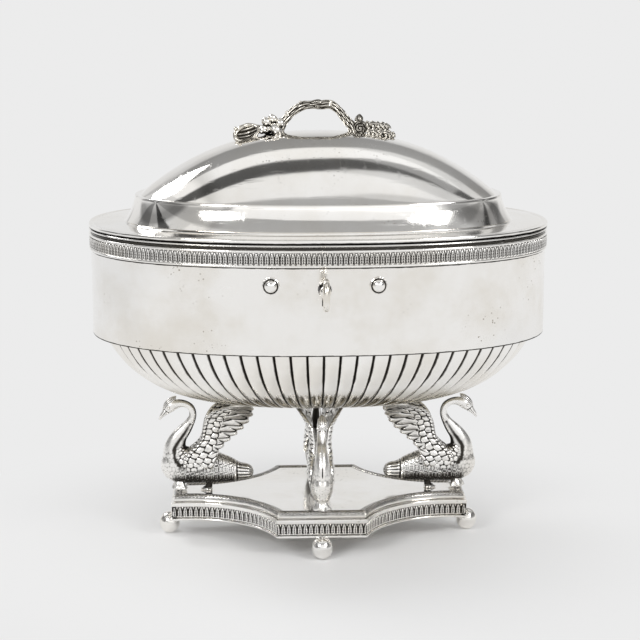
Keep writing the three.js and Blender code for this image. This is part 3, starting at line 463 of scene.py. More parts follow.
class Shader(Nodes):
    """A node material with one Principled shader."""

    def __init__(self, name):
        self.material = bpy.data.materials.new(name)
        self.material.use_nodes = True
        super().__init__(self.material.node_tree)
        self.shader = self.node("BsdfPrincipled")
        self.output = self.node("OutputMaterial", [self.shader.outputs[0]])
        self.place = self.node("TexCoord").outputs["Object"]

    def noise(self, scale, detail=2, rough=0.5, stretch=None):
        place = self.place
        if stretch:
            place = self.node("VectorMath", [place, stretch], operation="MULTIPLY").outputs[0]
        return self.node("TexNoise", {"Vector": place, "Scale": scale, "Detail": detail,
                                      "Roughness": rough}).outputs["Fac"]

    def specks(self, scale, inner, outer):
        """Round spots, one in each cell."""
        cells = self.node("TexVoronoi", {"Vector": self.place, "Scale": scale})
        return self.span(cells.outputs["Distance"], inner, outer, 1.0, 0.0)

    def level(self, noise, amount):
        """Height of the place, made uneven by a noise times an amount in metres."""
        return self.math("ADD", self.split(self.place)["Z"], self.centred(noise, amount))

    def bump(self, *heights):
        """Chains (height, strength, distance in millimetres) into one normal."""
        below = {}
        for height, strength, distance in heights:
            node = self.node("Bump", {"Height": height, "Strength": strength, "Distance": distance * MM, **below})
            below = {"Normal": node.outputs[0]}
        self.put(self.shader.inputs["Normal"], node.outputs[0])

    def finish(self, colour, roughness, metallic=1.0):
        for key, value in (("Base Color", colour), ("Roughness", roughness), ("Metallic", metallic)):
            self.put(self.shader.inputs[key], value)
        return self.material


SILVER = (0.97, 0.955, 0.93, 1)
WARM = (0.78, 0.73, 0.64, 1)
COOL = (0.70, 0.72, 0.76, 1)
OXIDE = (0.022, 0.018, 0.013, 1)
PIT_BROWN = (0.30, 0.26, 0.20, 1)
PATINA = (0.42, 0.38, 0.29, 1)
DULL, DULL_BRIGHT = (0.66, 0.63, 0.57, 1), (0.80, 0.78, 0.74, 1)


def polished_silver(name, rough, pits=0.6, waves=0.10, joint_dirt_and_shade=(), tarnish=0.35):
    """Hand-planished sheet: low waves, hair scratches, clouds of fine pits and a warm film.
    The joint list gives (low, high) heights in millimetres where a dark band sits in a joint: part dirt, part painted
    shade of the gap between parts."""
    s = Shader(name)
    film = s.span(s.noise(28, 4, 0.6), 0.38, 0.68)
    colour = s.mix(s.times(film, tarnish), SILVER, WARM)
    bloom = s.span(s.noise(11), 0.50, 0.72)
    colour = s.mix(s.times(bloom, tarnish * 0.5), colour, COOL)
    if joint_dirt_and_shade:
        # dark joint bands: part dirt, part painted shade in the gaps between the lid, the drum, the beads and the
        # bowl
        level, soft = s.level(s.noise(220, 3, 0.6), 0.0006), 0.12
        for low, high in joint_dirt_and_shade:
            band = s.times(s.span(level, (low - soft) * MM, low * MM),
                           s.span(level, high * MM, (high + soft) * MM, 1.0, 0.0))
            colour = s.mix(s.times(band, 0.96), colour, OXIDE)
    cloud = s.span(s.noise(30, 3, 0.6), 0.50, 0.64)
    fine = s.times(s.specks(560, 0.12, 0.26), s.span(s.noise(170), 0.48, 0.60))
    pit = s.times(s.math("MAXIMUM", fine, s.specks(300, 0.06, 0.12)), cloud)
    colour = s.mix(s.times(pit, pits), colour, PIT_BROWN)
    hair = s.math("MAXIMUM", s.span(s.noise(420, stretch=(0.06, 1.0, 1.6)), 0.60, 0.72),
                  s.span(s.noise(380, stretch=(1.0, 0.4, 0.07)), 0.62, 0.74))
    smudge = s.span(s.noise(16, 3, 0.6), 0.35, 0.75, rough, rough + 0.10)
    marks = s.math("SUBTRACT", 1.0, s.math("MAXIMUM", pit, s.times(hair, 0.4)))
    s.bump((s.noise(22, 2, 0.4), waves, 1.2), (s.noise(130), waves * 0.45, 0.25), (marks, 0.25, 0.05))
    return s.finish(colour, s.math("ADD", smudge, s.times(hair, 0.08)))


def chased_silver(name, rough, dark, low, high, grain=0.3, tone=SILVER, patina=None):
    """Cast and chased work: oxide left in the hollows, bright edges, fine punch grain.
    Patina gives two heights in millimetres, between which the metal below turns brown."""
    s = Shader(name)
    cavity = s.node("Attribute", attribute_name="cavity").outputs["Fac"]
    clean = s.span(s.math("ADD", cavity, s.centred(s.noise(260, 3, 0.6), 0.22)), low, high)
    film = s.span(s.noise(26, 4, 0.6), 0.40, 0.70)
    bright = s.mix(s.times(film, 0.45), tone, WARM)
    if patina:
        low_down = s.span(s.level(film, 0.006), patina[0] * MM, patina[1] * MM, 1.0, 0.0)
        bright = s.mix(s.times(low_down, 0.85), bright, PATINA)
    colour = s.mix(s.times(s.math("SUBTRACT", 1.0, clean), dark), bright, OXIDE)
    s.bump((s.noise(900, 2, 0.6), grain, 0.06), (s.noise(240), grain * 0.6, 0.12))
    return s.finish(colour, s.span(clean, 0, 1, rough + 0.32, rough, smooth=False))


def inside_silver(name):
    """Unburnished silver inside the box: satin, with yellowed patches and rub marks."""
    s = Shader(name)
    patch = s.span(s.noise(40, 4, 0.65), 0.38, 0.68)
    colour = s.mix(s.times(patch, 0.6), (0.82, 0.80, 0.75, 1), (0.66, 0.58, 0.44, 1))
    s.bump((s.noise(300, stretch=(0.3, 0.3, 1.4)), 0.12, 0.06), (s.noise(60), 0.1, 0.3))
    return s.finish(colour, s.span(patch, 0, 1, 0.30, 0.48))


def lock_steel(name, rough=0.34):
    """Filed iron of the lock: draw-file lines and brown-grey bloom."""
    s = Shader(name)
    bloom = s.span(s.noise(180, 4, 0.65), 0.40, 0.72)
    colour = s.mix(s.times(bloom, 0.6), (0.56, 0.56, 0.57, 1), (0.24, 0.19, 0.15, 1))
    s.bump((s.noise(900, stretch=(0.05, 1.0, 1.0)), 0.18, 0.04), (s.noise(500, 3, 0.6), 0.15, 0.06))
    return s.finish(colour, s.span(bloom, 0, 1, rough, rough + 0.22))


POLISHED = polished_silver("polished_sheet", 0.06)
# the joint lists below darken the gaps between parts: part dirt, part painted shade
LID_SHEET = polished_silver("lid_sheet", 0.05, waves=0.17, joint_dirt_and_shade=[(133.0, 133.95)])
LID_WIRE = polished_silver("lid_wire_finish", 0.07, joint_dirt_and_shade=[(131.0, 132.3), (133.2, 134.0)])
DRUM_SHEET = polished_silver("drum_sheet", 0.13, pits=1.0, waves=0.14, tarnish=0.55,
                             joint_dirt_and_shade=[(89.0, 89.75), (123.95, 124.5), (131.2, 132.6)])
FIELD_SHEET = polished_silver("field_sheet", 0.09, pits=0.8, waves=0.08)
BALL = polished_silver("ball_silver", 0.06, pits=0.3, waves=0.03)
KEY_STEEL = polished_silver("key_metal", 0.16, pits=0.9, waves=0.06, tarnish=1.0)
FLUTED = chased_silver("fluted_bowl", 0.11, 0.96, 0.36, 0.56, grain=0.04, patina=(61.0, 72.0))
RIM_CHASED = chased_silver("rim_frieze_finish", 0.2, 0.98, 0.50, 0.74)
CHASED = chased_silver("chased_swan", 0.27, 0.97, 0.39, 0.59)
FRIEZE = chased_silver("frieze", 0.22, 0.98, 0.52, 0.74)
CUSHION = chased_silver("cushion_sheet", 0.17, 0.94, 0.49, 0.74, grain=0.10)
HANDLE = chased_silver("handle_cast", 0.2, 0.98, 0.52, 0.82, grain=0.25, tone=DULL)
HANDLE_BRIGHT = chased_silver("berry_cast", 0.13, 0.97, 0.44, 0.62, grain=0.08, tone=DULL_BRIGHT)
INSIDE = inside_silver("inside")
STEEL = lock_steel("steel")


# ---------------------------------------------------------------- vessel
def build_lid():
    angles = even_angles(384)
    bezel_inset, shell = 16.7, 1.2
    profile = [(bezel_inset, BRIM_UNDER_Z), (0.25, BRIM_UNDER_Z)]
    profile += [(0.45 - 0.45 * np.cos(t), 134.4 + 0.7 * np.sin(t)) for t in np.radians([-60, -20, 20, 60])]
    profile += [(inset, BRIM_TOP_Z + rise) for inset, rise in (
        (0.6, 0), (1.6, -0.02), (2.0, -0.22), (2.3, -0.25), (2.8, -0.05), (3.4, 0.0), (7, 0.02),
        (11, 0.06), (14.0, 0.1), (14.5, 0.14), (14.75, 0.4), (14.95, 0.62), (15.3, 0.66))]
    profile += [(14.9 + 4.2 * (1 - (1 - share) ** 1.6), 135.7 + 10.2 * share) for share in np.linspace(0.03, 1, 14)]
    profile += [(19.3, 146.15), (19.9, 146.3), (20.9, 146.25)]
    loops = [rim_loop(inset, z, angles) for inset, z in profile]
    loops += vault((1, 0.995, 0.985, 0.97, 0.95, 0.92, 0.88, 0.83, 0.78, 0.72, 0.66, 0.59, 0.52, 0.44, 0.36, 0.28,
                    0.2, 0.13, 0.07, 0.03), DOME_A, DOME_B, SHOULDER_TOP_Z, DOME_RISE, DOME_POWERS, angles)
    inner = vault((0.03, 0.15, 0.3, 0.45, 0.6, 0.75, 0.87, 0.95, 0.99), DOME_A - shell, DOME_B - shell,
                  SHOULDER_TOP_Z, DOME_RISE - shell, DOME_POWERS, angles)
    inner += [rim_loop(inset, z, angles)
              for inset, z in ((21.8, 143.0), (bezel_inset, BRIM_TOP_Z), (bezel_inset, BRIM_UNDER_Z))]
    dome = Build(loops, low_cap=False).loft(inner, high_cap=False)
    weld(add_piece("lid_dome", dome, "lid", LID_SHEET, ["lid_shell"]))
    wire = rim_ring(half_round(132.2, 133.4, 2.5, depth=1.4), angles)
    add_piece("lid_wire", wire, "lid", LID_WIRE, ["lid_edge_wire"])
    bezel = rim_ring(rounded([(2.9, 127.7), (2.9, 133.4), (4.1, 133.4), (4.1, 127.7)], 0.25), angles)
    add_piece("lid_rebate", bezel, "lid", INSIDE, ["lid_bezel"])


def keyhole_cutters():
    front, back, half_slot = -66.0, -54.0, 1.05
    low, high = KEYHOLE_Z - 6.6, KEYHOLE_Z - 1.0
    corners = [(-half_slot, low), (half_slot, low), (half_slot, high), (-half_slot, high)]
    hole = turned([(KEYHOLE_RADIUS, front), (KEYHOLE_RADIUS, back)], 48, along_y)
    slot = Build([np.array([(x, y, z) for x, z in corners]) for y in (front + 0.05, back - 0.05)])
    return hole.moved(lambda p: p + [0, 0, KEYHOLE_Z]), slot


def build_drum():
    inner, lip, lip_z, longest = 2.3, 8.0, 90.8, 3
    section = [(WALL_INSET, DRUM_BOTTOM_Z), (WALL_INSET, DRUM_TOP_Z), (inner, DRUM_TOP_Z), (inner, lip_z),
               (lip, lip_z), (lip, DRUM_BOTTOM_Z)]
    rows = []
    for (i0, z0), (i1, z1) in zip(section, section[1:] + section[:1]):
        steps = max(1, int(hypot(i1 - i0, z1 - z0) / longest))
        rows += [(i0 + (i1 - i0) * k / steps, z0 + (z1 - z0) * k / steps) for k in range(steps)]
    piece = add_piece("drum_wall", rim_ring(rows, even_angles(480)), "box", DRUM_SHEET, ["drum"])
    for cutter in keyhole_cutters():
        cut_away(piece, cutter)


def build_bowl():
    """Convex flutes, round between narrow grooves, with a groove at the front centre."""
    per_flute, groove_depth, wall, floor = 12, 1.45, 2.2, 1.2
    angles, plain = even_angles(FLUTES * per_flute), even_angles(288)
    phase = (np.arange(FLUTES * per_flute) % per_flute) / per_flute
    groove = groove_depth * (1 - ridged(pi * phase, 0.55))
    outer = []
    for share in np.concatenate([np.linspace(0.05, 0.5, 8, endpoint=False), np.linspace(0.5, 0.9, 14, endpoint=False),
                                 np.linspace(0.9, 0.99, 10, endpoint=False), [0.99, 0.996, 1.0]]):
        drop = arch(share, BOWL_POWERS)
        cut = groove * smooth_step(share, 0.47, 0.80)
        outer.append(loop_at(BOWL_A * share - cut, BOWL_B * share - cut,
                             BOWL_TOP_Z - BOWL_DEPTH * drop + cut * 0.55 * drop, angles))
    inner = vault((1.0, 0.99, 0.96, 0.92, 0.86, 0.78, 0.68, 0.56, 0.44, 0.3, 0.15, 0.04), BOWL_A - wall,
                  BOWL_B - wall, BOWL_TOP_Z, floor - BOWL_DEPTH, BOWL_POWERS, plain)
    edge = loop_at(BOWL_A, BOWL_B, BOWL_TOP_Z, plain)
    bowl = Build(outer, high_cap=False).loft([edge] + inner, low_cap=False)
    add_piece("bowl_flutes", bowl, "box", FLUTED, ["bowl"], sharp=60, chase=(3, 1.6))


# ---------------------------------------------------------------- base
def base_outline(inset, arc_steps=56, end_steps=18):
    """Outline of the four-armed base: flat arm ends joined by concave arcs, counter-clockwise."""
    side, front, hollow = np.array([62.6, 11.5]), np.array([18.7, 37.0]), 9.5
    chord = np.linalg.norm(side - front)
    radius = (chord ** 2 / 4 + hollow ** 2) / (2 * hollow)
    outward = np.array([front[1] - side[1], side[0] - front[0]]) / chord
    centre = (side + front) / 2 + outward * (radius - hollow)
    arc = radius + inset
    start_x, end_y = side[0] - inset - centre[0], front[1] - inset - centre[1]
    start = atan2(-sqrt(arc ** 2 - start_x ** 2), start_x)
    end = atan2(end_y, -sqrt(arc ** 2 - end_y ** 2))
    turn = np.linspace(start, end, arc_steps + 1)
    quarter = np.column_stack([centre[0] + arc * np.cos(turn), centre[1] + arc * np.sin(turn)])
    low, high = quarter[0], quarter[-1]
    half_side = np.column_stack([np.full(end_steps, low[0]), np.linspace(0, low[1], end_steps, endpoint=False)])
    half_front = np.column_stack([np.linspace(high[0], 0, end_steps + 1)[1:], np.full(end_steps, high[1])])
    first = np.vstack([half_side, quarter, half_front])
    upper = np.vstack([first, (first[::-1] * [-1, 1])[1:]])
    return np.vstack([upper, (upper[::-1] * [1, -1])[1:-1]])


def base_loop(inset, z, **steps):
    return ring(*base_outline(inset, **steps).T, z)


def outline_reach(flat):
    """Distance along a closed outline at each of its points, and the whole length."""
    steps = np.linalg.norm(np.roll(flat, -1, axis=0) - flat, axis=1)
    return np.concatenate([[0], np.cumsum(steps)[:-1]]), steps.sum()


def leaf_relief(u, v):
    """Height of a running band of upright leaves: u counts leaves along the band, v runs from 0 to 1 up it."""
    du = np.abs((u % 1.0) - 0.5)
    foot = 0.88 + 0.12 * v / 0.3 if v < 0.30 else 1
    width = 0.43 * round_top(((v - 0.30) / 0.62) ** 2) * foot
    lobes = 1 - 0.13 * np.abs(np.sin(v * 4 * pi)) * (v < 0.85)
    edge = np.clip(1 - (du / np.maximum(width * lobes, 1e-3)) ** 3, 0, 1) ** 0.6
    ribs = 0.25 * np.abs(np.sin((v * 1.6 + du * 1.5) * 3.1 * pi))
    leaf = edge * (0.78 + 0.22 * np.clip(v / 0.7, 0, 1) - 0.45 * bell(du, 0.035) - ribs * (du > 0.05) * edge)
    between = np.abs(((u + 0.5) % 1.0) - 0.5)
    bud = round_top((between / 0.13) ** 2 + ((v - 0.84) / 0.13) ** 2)
    stalk = 0.35 * np.clip(1 - between / 0.05, 0, 1) * (v < 0.75)
    return np.maximum.reduce([leaf, 0.8 * bud, stalk])


def relief_band(flat, z_low, z_high, leaves, height, steps, rows, back):
    """A closed ring on a flat outline, whose outside carries the leaves."""
    reach, whole = outline_reach(flat)
    wanted = np.arange(steps) / steps * whole
    at, loop = np.append(reach, whole), np.vstack([flat, flat[:1]])
    dense = np.column_stack([np.interp(wanted, at, column) for column in loop.T])
    tangent = np.roll(dense, -1, axis=0) - np.roll(dense, 1, axis=0)
    tangent /= np.linalg.norm(tangent, axis=1)[:, None]
    normals = np.column_stack([tangent[:, 1], -tangent[:, 0]])
    loops = []
    for v in np.linspace(0, 1, rows):
        push = height * (leaf_relief(wanted / whole * leaves, v) - 1)
        loops.append(ring(*(dense + normals * push[:, None]).T, z_low + (z_high - z_low) * v))
    loops += [ring(*(dense - normals * back).T, z) for z in (z_high, z_low)]
    return Build(loops, joined=True)


def build_base():
    steps, half = dict(arc_steps=230, end_steps=70), 1.7
    punch_step, punch_rows, punch_depth = 1.5, 3.9, 0.24
    loops = [base_loop(inset, z, **steps) for inset, z in ((4.0, 16.6), (2.4, 16.5), (1.1, 16.4), (0.9, 16.6))]
    for k, turn in enumerate(np.radians(np.linspace(-8, 176, 30))):
        flat = base_outline(0.9 + half * (1 - cos(turn)), **steps)
        reach, _ = outline_reach(flat)
        along, across = reach / punch_step, k / punch_rows
        hatch = np.maximum(*(np.abs(np.sin(pi * (along + way * across * 0.5))) for way in (1, -1)))
        wobble = 0.5 + 0.5 * np.sin(reach * 0.9 + 2.1 * np.sin(reach * 0.37 + k))
        dent = punch_depth * (1 - hatch ** 3) * (0.4 + 0.6 * wobble) * (3 < k < 26)
        loops.append(ring(*flat.T, 17.7 + half * sin(turn) - dent))
    loops += [base_loop(4.35, 18.5, **steps), base_loop(4.4, 18.2, **steps)]
    add_piece("base_cushion", Build(loops, joined=True), "box", CUSHION, sharp=50, chase=(3, 1.5))
    inner = base_outline(4.3)
    field = Build([ring(*(inner * share).T, z) for z, shares in (
        (FIELD_Z - 1.2, (0.08, 0.6, 1.0)), (FIELD_Z, (1.0, 0.85, 0.6, 0.3, 0.08))) for share in shares])
    add_piece("platform", field, "box", FIELD_SHEET, ["base_platform"], sharp=50)
    frieze = relief_band(base_outline(0.15), 9.65, 14.35, leaves=150, height=0.75, steps=2700, rows=30, back=2.0)
    add_piece("base_frieze", frieze, "box", FRIEZE, ["base_frieze_band"], 80, chase=(4, 1.2))
    for name, section, nodes in (
            ("base_fillet", rounded([(0.0, 14.45), (0.0, 16.1), (2.2, 16.1), (2.2, 14.45)], 0.3), ()),
            ("base_bead", half_round(8.2, 9.3, 2.4), ["base_foot_bead"])):
        add_piece(name, Build([base_loop(i, z) for i, z in section], joined=True), "box", POLISHED, nodes)


def build_feet():
    radius, half, sink = 4.4, 4.7, 0.15
    low = acos(1 - 2 * sink / (2 * half))
    profile = [(radius * sin(t), max(half * (1 - cos(t)) - sink, 0.0))
               for t in np.linspace(low, pi - 0.12, 28)]
    foot = Build([round_ring(0, 0, z, reach, turns(48)) for reach, z in profile])
    for name, x, y in (("left", -63.8, 0), ("right", 63.8, 0), ("front", 0, -38.2), ("back", 0, 38.2)):
        add_piece(f"foot_{name}", foot.moved(lambda p: p + [x, y, 0]), "box", BALL, [f"ball_foot_{name}"])


# ---------------------------------------------------------------- swans
SWAN_BODY = [
    [-18.9, 7.7, 0.6, 0.6], [-18.2, 7.7, 2.4, 2.2], [-16.6, 7.7, 3.4, 3.0], [-14.4, 7.8, 3.85, 3.4],
    [-12.4, 7.9, 4.0, 3.6], [-11.8, 8.0, 4.5, 3.9], [-9.4, 8.5, 5.1, 4.3], [-6.6, 9.1, 5.9, 4.6], [-2, 9.9, 6.8, 4.9],
    [3, 10.5, 7.4, 5.0], [8, 10.9, 7.9, 4.9], [12.4, 11.2, 8.0, 4.7], [15.4, 11.7, 7.2, 4.4],
    [17.6, 12.4, 5.6, 3.7], [19.2, 13.0, 3.6, 2.7], [20.2, 13.4, 1.2, 1.0],
]
SWAN_NECK = [
    [13.2, 11, 6.5, 4.6], [14.0, 15.6, 5.9, 4.2], [14.3, 19.2, 4.7, 3.4], [12.9, 23.1, 3.6, 2.8],
    [9.9, 26.9, 2.7, 2.3], [7.7, 30.2, 1.9, 1.95], [6.7, 33.1, 1.55, 1.75], [7.4, 35.8, 1.5, 1.7],
    [9.2, 37.3, 1.5, 1.65], [11.5, 37.9, 1.65, 1.65], [13.8, 37.6, 2.1, 1.9], [15.8, 36.7, 2.4, 2.15],
    [17.4, 35.3, 2.05, 1.85], [18.8, 33.8, 1.3, 1.45], [20.1, 32.3, 0.85, 1.15], [21.1, 30.6, 0.35, 0.6],
]
NECK_CREASE = [[7.9, 29.0], [10.5, 25.0], [13.0, 21.5], [14.5, 19.2], [14.6, 16.9], [14.2, 14.0], [12.5, 12.0],
               [9.9, 10.9]]
SWAN_CREST = [[19.2, 35.4, 0.35, 0.5], [18.3, 36.8, 0.95, 1.25], [17.0, 38.2, 1.3, 1.65],
              [15.6, 39.4, 1.2, 1.5], [14.5, 40.3, 0.8, 1.0], [13.7, 41.0, 0.2, 0.3]]
EYE_X, EYE_Z = 16.9, 36.2
WING_ROOT_X, WING_ROOT_Z = 7.2, 19.4
WING_LEADING = [
    [11.2, 11.0], [10.6, 14.4], [8.8, 17.6], [5.8, 20.2], [3.9, 22.6], [3.1, 25.2], [2.6, 28.0], [1.8, 30.9],
    [0.4, 33.5], [-1.8, 35.7], [-5.0, 37.3], [-9.0, 38.6],
]
WING_TRAILING = [
    [1.4, 6.6], [-1.2, 9.6], [-2.6, 13.2], [-4.4, 17.2], [-6.6, 20.2], [-9.6, 22.9], [-12.6, 25.4],
    [-15.2, 27.9], [-17.3, 30.7], [-18.9, 33.8], [-19.3, 36.6], [-18.0, 38.8],
]
WING_SPREAD = [[6, 5.1], [10, 5.3], [12, 5.2], [17, 4.1], [22, 2.9], [26, 2.5], [32, 3.5], [36, 6.2], [39, 9.2]]
WING_ROWS, WING_COLUMNS, FEATHERS = 150, 76, 8


def scale_pattern(u, v):
    """Overlapping rounded scales: u counts rows towards their tips, v counts scales across."""
    row = np.floor(u)
    fu = u - row
    fv = np.abs((v + 0.5 * (row % 2)) % 1.0 - 0.5)
    fall = (2 * fv) ** 2 * 0.92 + ((fu - 0.46) / 0.60) ** 2
    return 0.10 + 0.90 * round_top(fall) + 0.10 * fu * (fall < 1)


def swan_skin():
    """Body, neck and head in one skin, and the painted shade laid on its fold, throat, nape, belly and flank, beyond
    the dark of its own hollows.
    """
    points, normals, faces = fused([limb(SWAN_BODY, 60, 40), limb(SWAN_NECK, 90, 32)], 0.30, relax=5)
    x, y, z = points.T
    on_body = 1 - smooth_step(z, 16.0, 21.0)
    breast = smooth_step(x, 11.5, 16.5)
    tail = 1 - smooth_step(x, -12.2, -11.6)
    flank = on_body * (1 - breast) * (1 - tail)
    # scales round the root of the wing, and fine stipple past them
    reach, way = np.hypot(x - WING_ROOT_X, z - WING_ROOT_Z), np.arctan2(z - WING_ROOT_Z, x - WING_ROOT_X)
    scales = scale_pattern(reach / 2.15, way / 0.30)
    shoulder = (1 - smooth_step(reach, 8.6, 10.8)) * smooth_step(np.abs(y), 1.5, 2.6) * (
        1 - smooth_step(x, 11.0, 13.5))
    stipple = np.sin(x * 7.3 + z * 2.2 + 3 * np.sin(z * 1.9)) * np.sin(z * 6.1 - x * 2.7 + 2 * np.sin(x * 3.1))
    push = (0.36 * (scales - 0.5) * shoulder + 0.08 * stipple * (1 - shoulder)) * flank
    # breast feathers and the groove of the keel
    small = scale_pattern((30 - z) / 1.9, np.arctan2(y, x - 14) / (2 * pi) * 16)
    push += 0.05 * (small - 0.5) * breast * on_body
    push -= 0.26 * bell(y, 0.32) * smooth_step(x, 15.5, 17.5) * smooth_step(z, 15, 17) * (1 - smooth_step(z, 19, 21))
    # ribbed tail behind a ring
    centre_z = np.interp(x, [-18, -12, -6, 3, 12, 20], [7.7, 8, 9.2, 10.5, 11.2, 13])
    ribs = ridged(np.arctan2(y, z - centre_z) * 7, 0.6)
    push += tail * on_body * (0.26 * (ribs - 0.6) - 0.12)
    push -= 0.30 * bell(x + 11.9, 0.35) * on_body
    # fold between the neck and the body
    crease = curve_through(NECK_CREASE, 60)
    gap = np.min(np.hypot(x[:, None] - crease[:, 0], z[:, None] - crease[:, 1]), axis=1)
    fold = bell(gap, 1.0) * smooth_step(np.abs(y), 0.7, 1.3)
    push -= 0.20 * fold
    # painted shade in the fold under the neck, under the beak, on the back of the neck, under the belly and lightly
    # on the flank; near is the closest of the neck's rings
    line, heading = path_through(SWAN_NECK, 120)
    near = np.argmin(np.hypot(x[:, None] - line[:, 0], z[:, None] - line[:, 1]), axis=1)
    back = ((z - line[near, 1]) * heading[near, 0] - (x - line[near, 0]) * heading[near, 1]) / np.maximum(
        line[near, 2], 0.8)
    below_head = 1 - smooth_step(near, 84, 92)
    throat = smooth_step(-back, 0.5, 0.9) * smooth_step(z, 26, 28) * (1 - smooth_step(z, 31.5, 33)) * below_head
    nape = smooth_step(back, 0.60, 0.90) * smooth_step(z, 17, 21) * below_head
    belly = (1 - smooth_step(z, 4.8, 8.4)) * (1 - smooth_step(x, 14, 17))
    # painted shade: darker in the fold, the throat, the nape and the belly, and a little on the flank
    painted_shade = 0.10 * fold + 0.12 * throat + 0.26 * nape + 0.15 * belly + 0.03 * flank * (1 - shoulder)
    # mouth, the edge of the bill, and the eyes
    head = smooth_step(x, 12.5, 14.5) * smooth_step(z, 29, 31)
    push -= 0.26 * bell(z - (30.9 + (x - 21) * -1.2), 0.28) * smooth_step(x, 17.6, 18.2) * head
    push -= 0.24 * bell((x - 17.9) * 0.6 + (34.8 - z) * 0.8, 0.26) * head
    push -= 0.30 * bell(np.hypot(x - EYE_X, z - EYE_Z), 0.85) * (np.abs(y) > 1.0) * head
    skin = Build().add(points + normals * push[:, None], faces)
    return skin.join(*(ball((EYE_X, side * 1.82, EYE_Z), 0.55) for side in (-1, 1))), painted_shade


def crest_fan():
    """A tall ribbed crest that rises backwards from the forehead."""
    turn = turns(72)
    ribs = 1 + 0.16 * (ridged(5.5 * turn, 0.7) - 0.6)
    return Build([ring_across(x, z, heading, radius * ribs, width * ribs, turn)
                  for (x, z, radius, width), heading in zip(*path_through(SWAN_CREST, 40))])


def swan_support():
    """Tufted rock under the breast, webbed foot and leg, and the peg below them."""
    cushion_top, clear = 19.4, 0.3
    low = cushion_top + clear - FIELD_Z
    rng = random.Random(5)
    turn, rock, leg = turns(26), [], []
    for z, size in ((low, 3.1), (low + 0.5, 3.2), (low + 1.5, 2.7), (low + 2.6, 2.2), (low + 4.5, 1.7)):
        lumps = np.array([1 + 0.14 * sin(5 * t + z) + 0.05 * rng.uniform(-1, 1) for t in turn])
        rock.append(round_ring(12.6, 0, z, size * lumps, turn, wide=1.15))
    for z, radius, lean in ((0.3, 2.5, 0.9), (0.6, 2.6, 0.9), (1.0, 2.1, 0.7), (1.6, 1.5, 0.3), (2.6, 1.35, 0.1),
                            (3.8, 1.6, 0), (4.8, 2.2, -0.2), (6.2, 3.0, -0.4)):
        webs = 1 + 0.12 * np.cos(3 * turn) * (z < 1.3)
        leg.append(round_ring(lean, 0, z, radius * webs, turn))
    peg = [round_ring(0, 0, z, 1.0, turns(12)) for z in (-4.0, 1.0)]
    return Build(rock).loft(leg).loft(peg)


def wing_skin(side):
    """One wing: beads along its leading edge, rows of rounded coverts, then long flight feathers."""
    lead, trail = (curve_through(edge, WING_ROWS) for edge in (WING_LEADING, WING_TRAILING))
    heights = np.array(WING_SPREAD)
    lead_length, bead_step, bead_line = 36.0, 1.7, 0.95
    coverts_from, row_step, scale_width = 1.9, 2.85, 2.7
    t = np.linspace(0, 1, WING_COLUMNS)
    loops = []
    for k in range(WING_ROWS):
        s = k / (WING_ROWS - 1)
        run, rise = trail[k] - lead[k]
        depth, along = t * hypot(run, rise), s * lead_length
        flight = smooth_step(s, 0.22, 0.36)
        frac = (s + 0.21 - 0.30 * np.clip(t - 0.3, 0, 1) - 0.24) / 0.76 * FEATHERS % 1.0
        tip = 1 - flight * 0.11 * (2 * frac[-1] - 1) ** 2
        x = lead[k, 0] + run * t * tip
        z = lead[k, 1] + rise * t * tip + 1.6 * flight * np.sin(pi * t)
        y = np.interp(z, heights[:, 0], heights[:, 1]) + 0.9 * np.sin(pi * t) * flight
        y = y - 2.2 * (1 - smooth_step(s, 0.0, 0.22)) * (0.35 + 0.65 * smooth_step(t, 0, 0.4))
        beads = round_top((2 * np.abs((along / bead_step) % 1 - 0.5)) ** 2 + ((depth - bead_line) / 0.9) ** 2)
        scales = scale_pattern((depth - coverts_from) / row_step, np.full(WING_COLUMNS, along / scale_width))
        feather = 0.05 + 0.95 * round_top((2 * frac - 1) ** 2) ** 0.6 - 0.10 * bell(frac - 0.3, 0.05)
        bead_zone = 1 - smooth_step(depth, 1.8, 2.1)
        scale_zone = np.maximum(1 - smooth_step(depth, 7.6, 8.0), 1 - flight)
        height = bead_zone * (0.35 + 0.65 * beads) + (1 - bead_zone) * (
            scale_zone * (0.30 + 0.80 * scales) + (1 - scale_zone) * feather * 0.95)
        height = 0.6 + (height - 0.6) * (1 - 0.9 * smooth_step(s, 0.82, 0.90))
        swell = (0.40 + 0.80 * height) * round_top((2 * t - 1) ** 10) * round_top(abs(2 * s - 1) ** 24) + 0.02
        outer, inner = ring(x, side * (y + swell), z), ring(x, side * (y - 0.12 - 0.55 * swell), z)
        loop = np.vstack([outer, inner[::-1]])
        loops.append(loop[::-1] if side > 0 else loop)
    return Build(loops)


def below_bowl(p):
    """Presses points that would reach into the bowl down to its underside."""
    drop = arch(oval_share(p, BOWL_A, BOWL_B), BOWL_POWERS)
    return ring(p[:, 0], p[:, 1], np.minimum(p[:, 2], BOWL_TOP_Z - BOWL_DEPTH * drop - 0.15))


def build_swans():
    (skin, painted_shade), wings = swan_skin(), {"l": wing_skin(1), "r": wing_skin(-1)}
    whole = Build().join(skin, crest_fan(), swan_support())
    painted_shade = np.pad(painted_shade, (0, len(whole.points) - len(painted_shade)))
    for swan, (x, y, turn) in SWANS.items():
        at = x, y, FIELD_Z, turn
        add_piece(f"swan_{swan}_skin", whole.moved(set_down, *at), "box", CHASED, [f"swan_{swan}"],
                  70, chase=(4, 1.0), painted_shade=painted_shade)
        for side, wing in wings.items():
            add_piece(f"swan_{swan}_plumes_{side}", wing.moved(set_down, *at).moved(below_bowl), "box", CHASED,
                      [f"swan_{swan}_wing_{side}"], 70, outwards=True, chase=(3, 0.8))


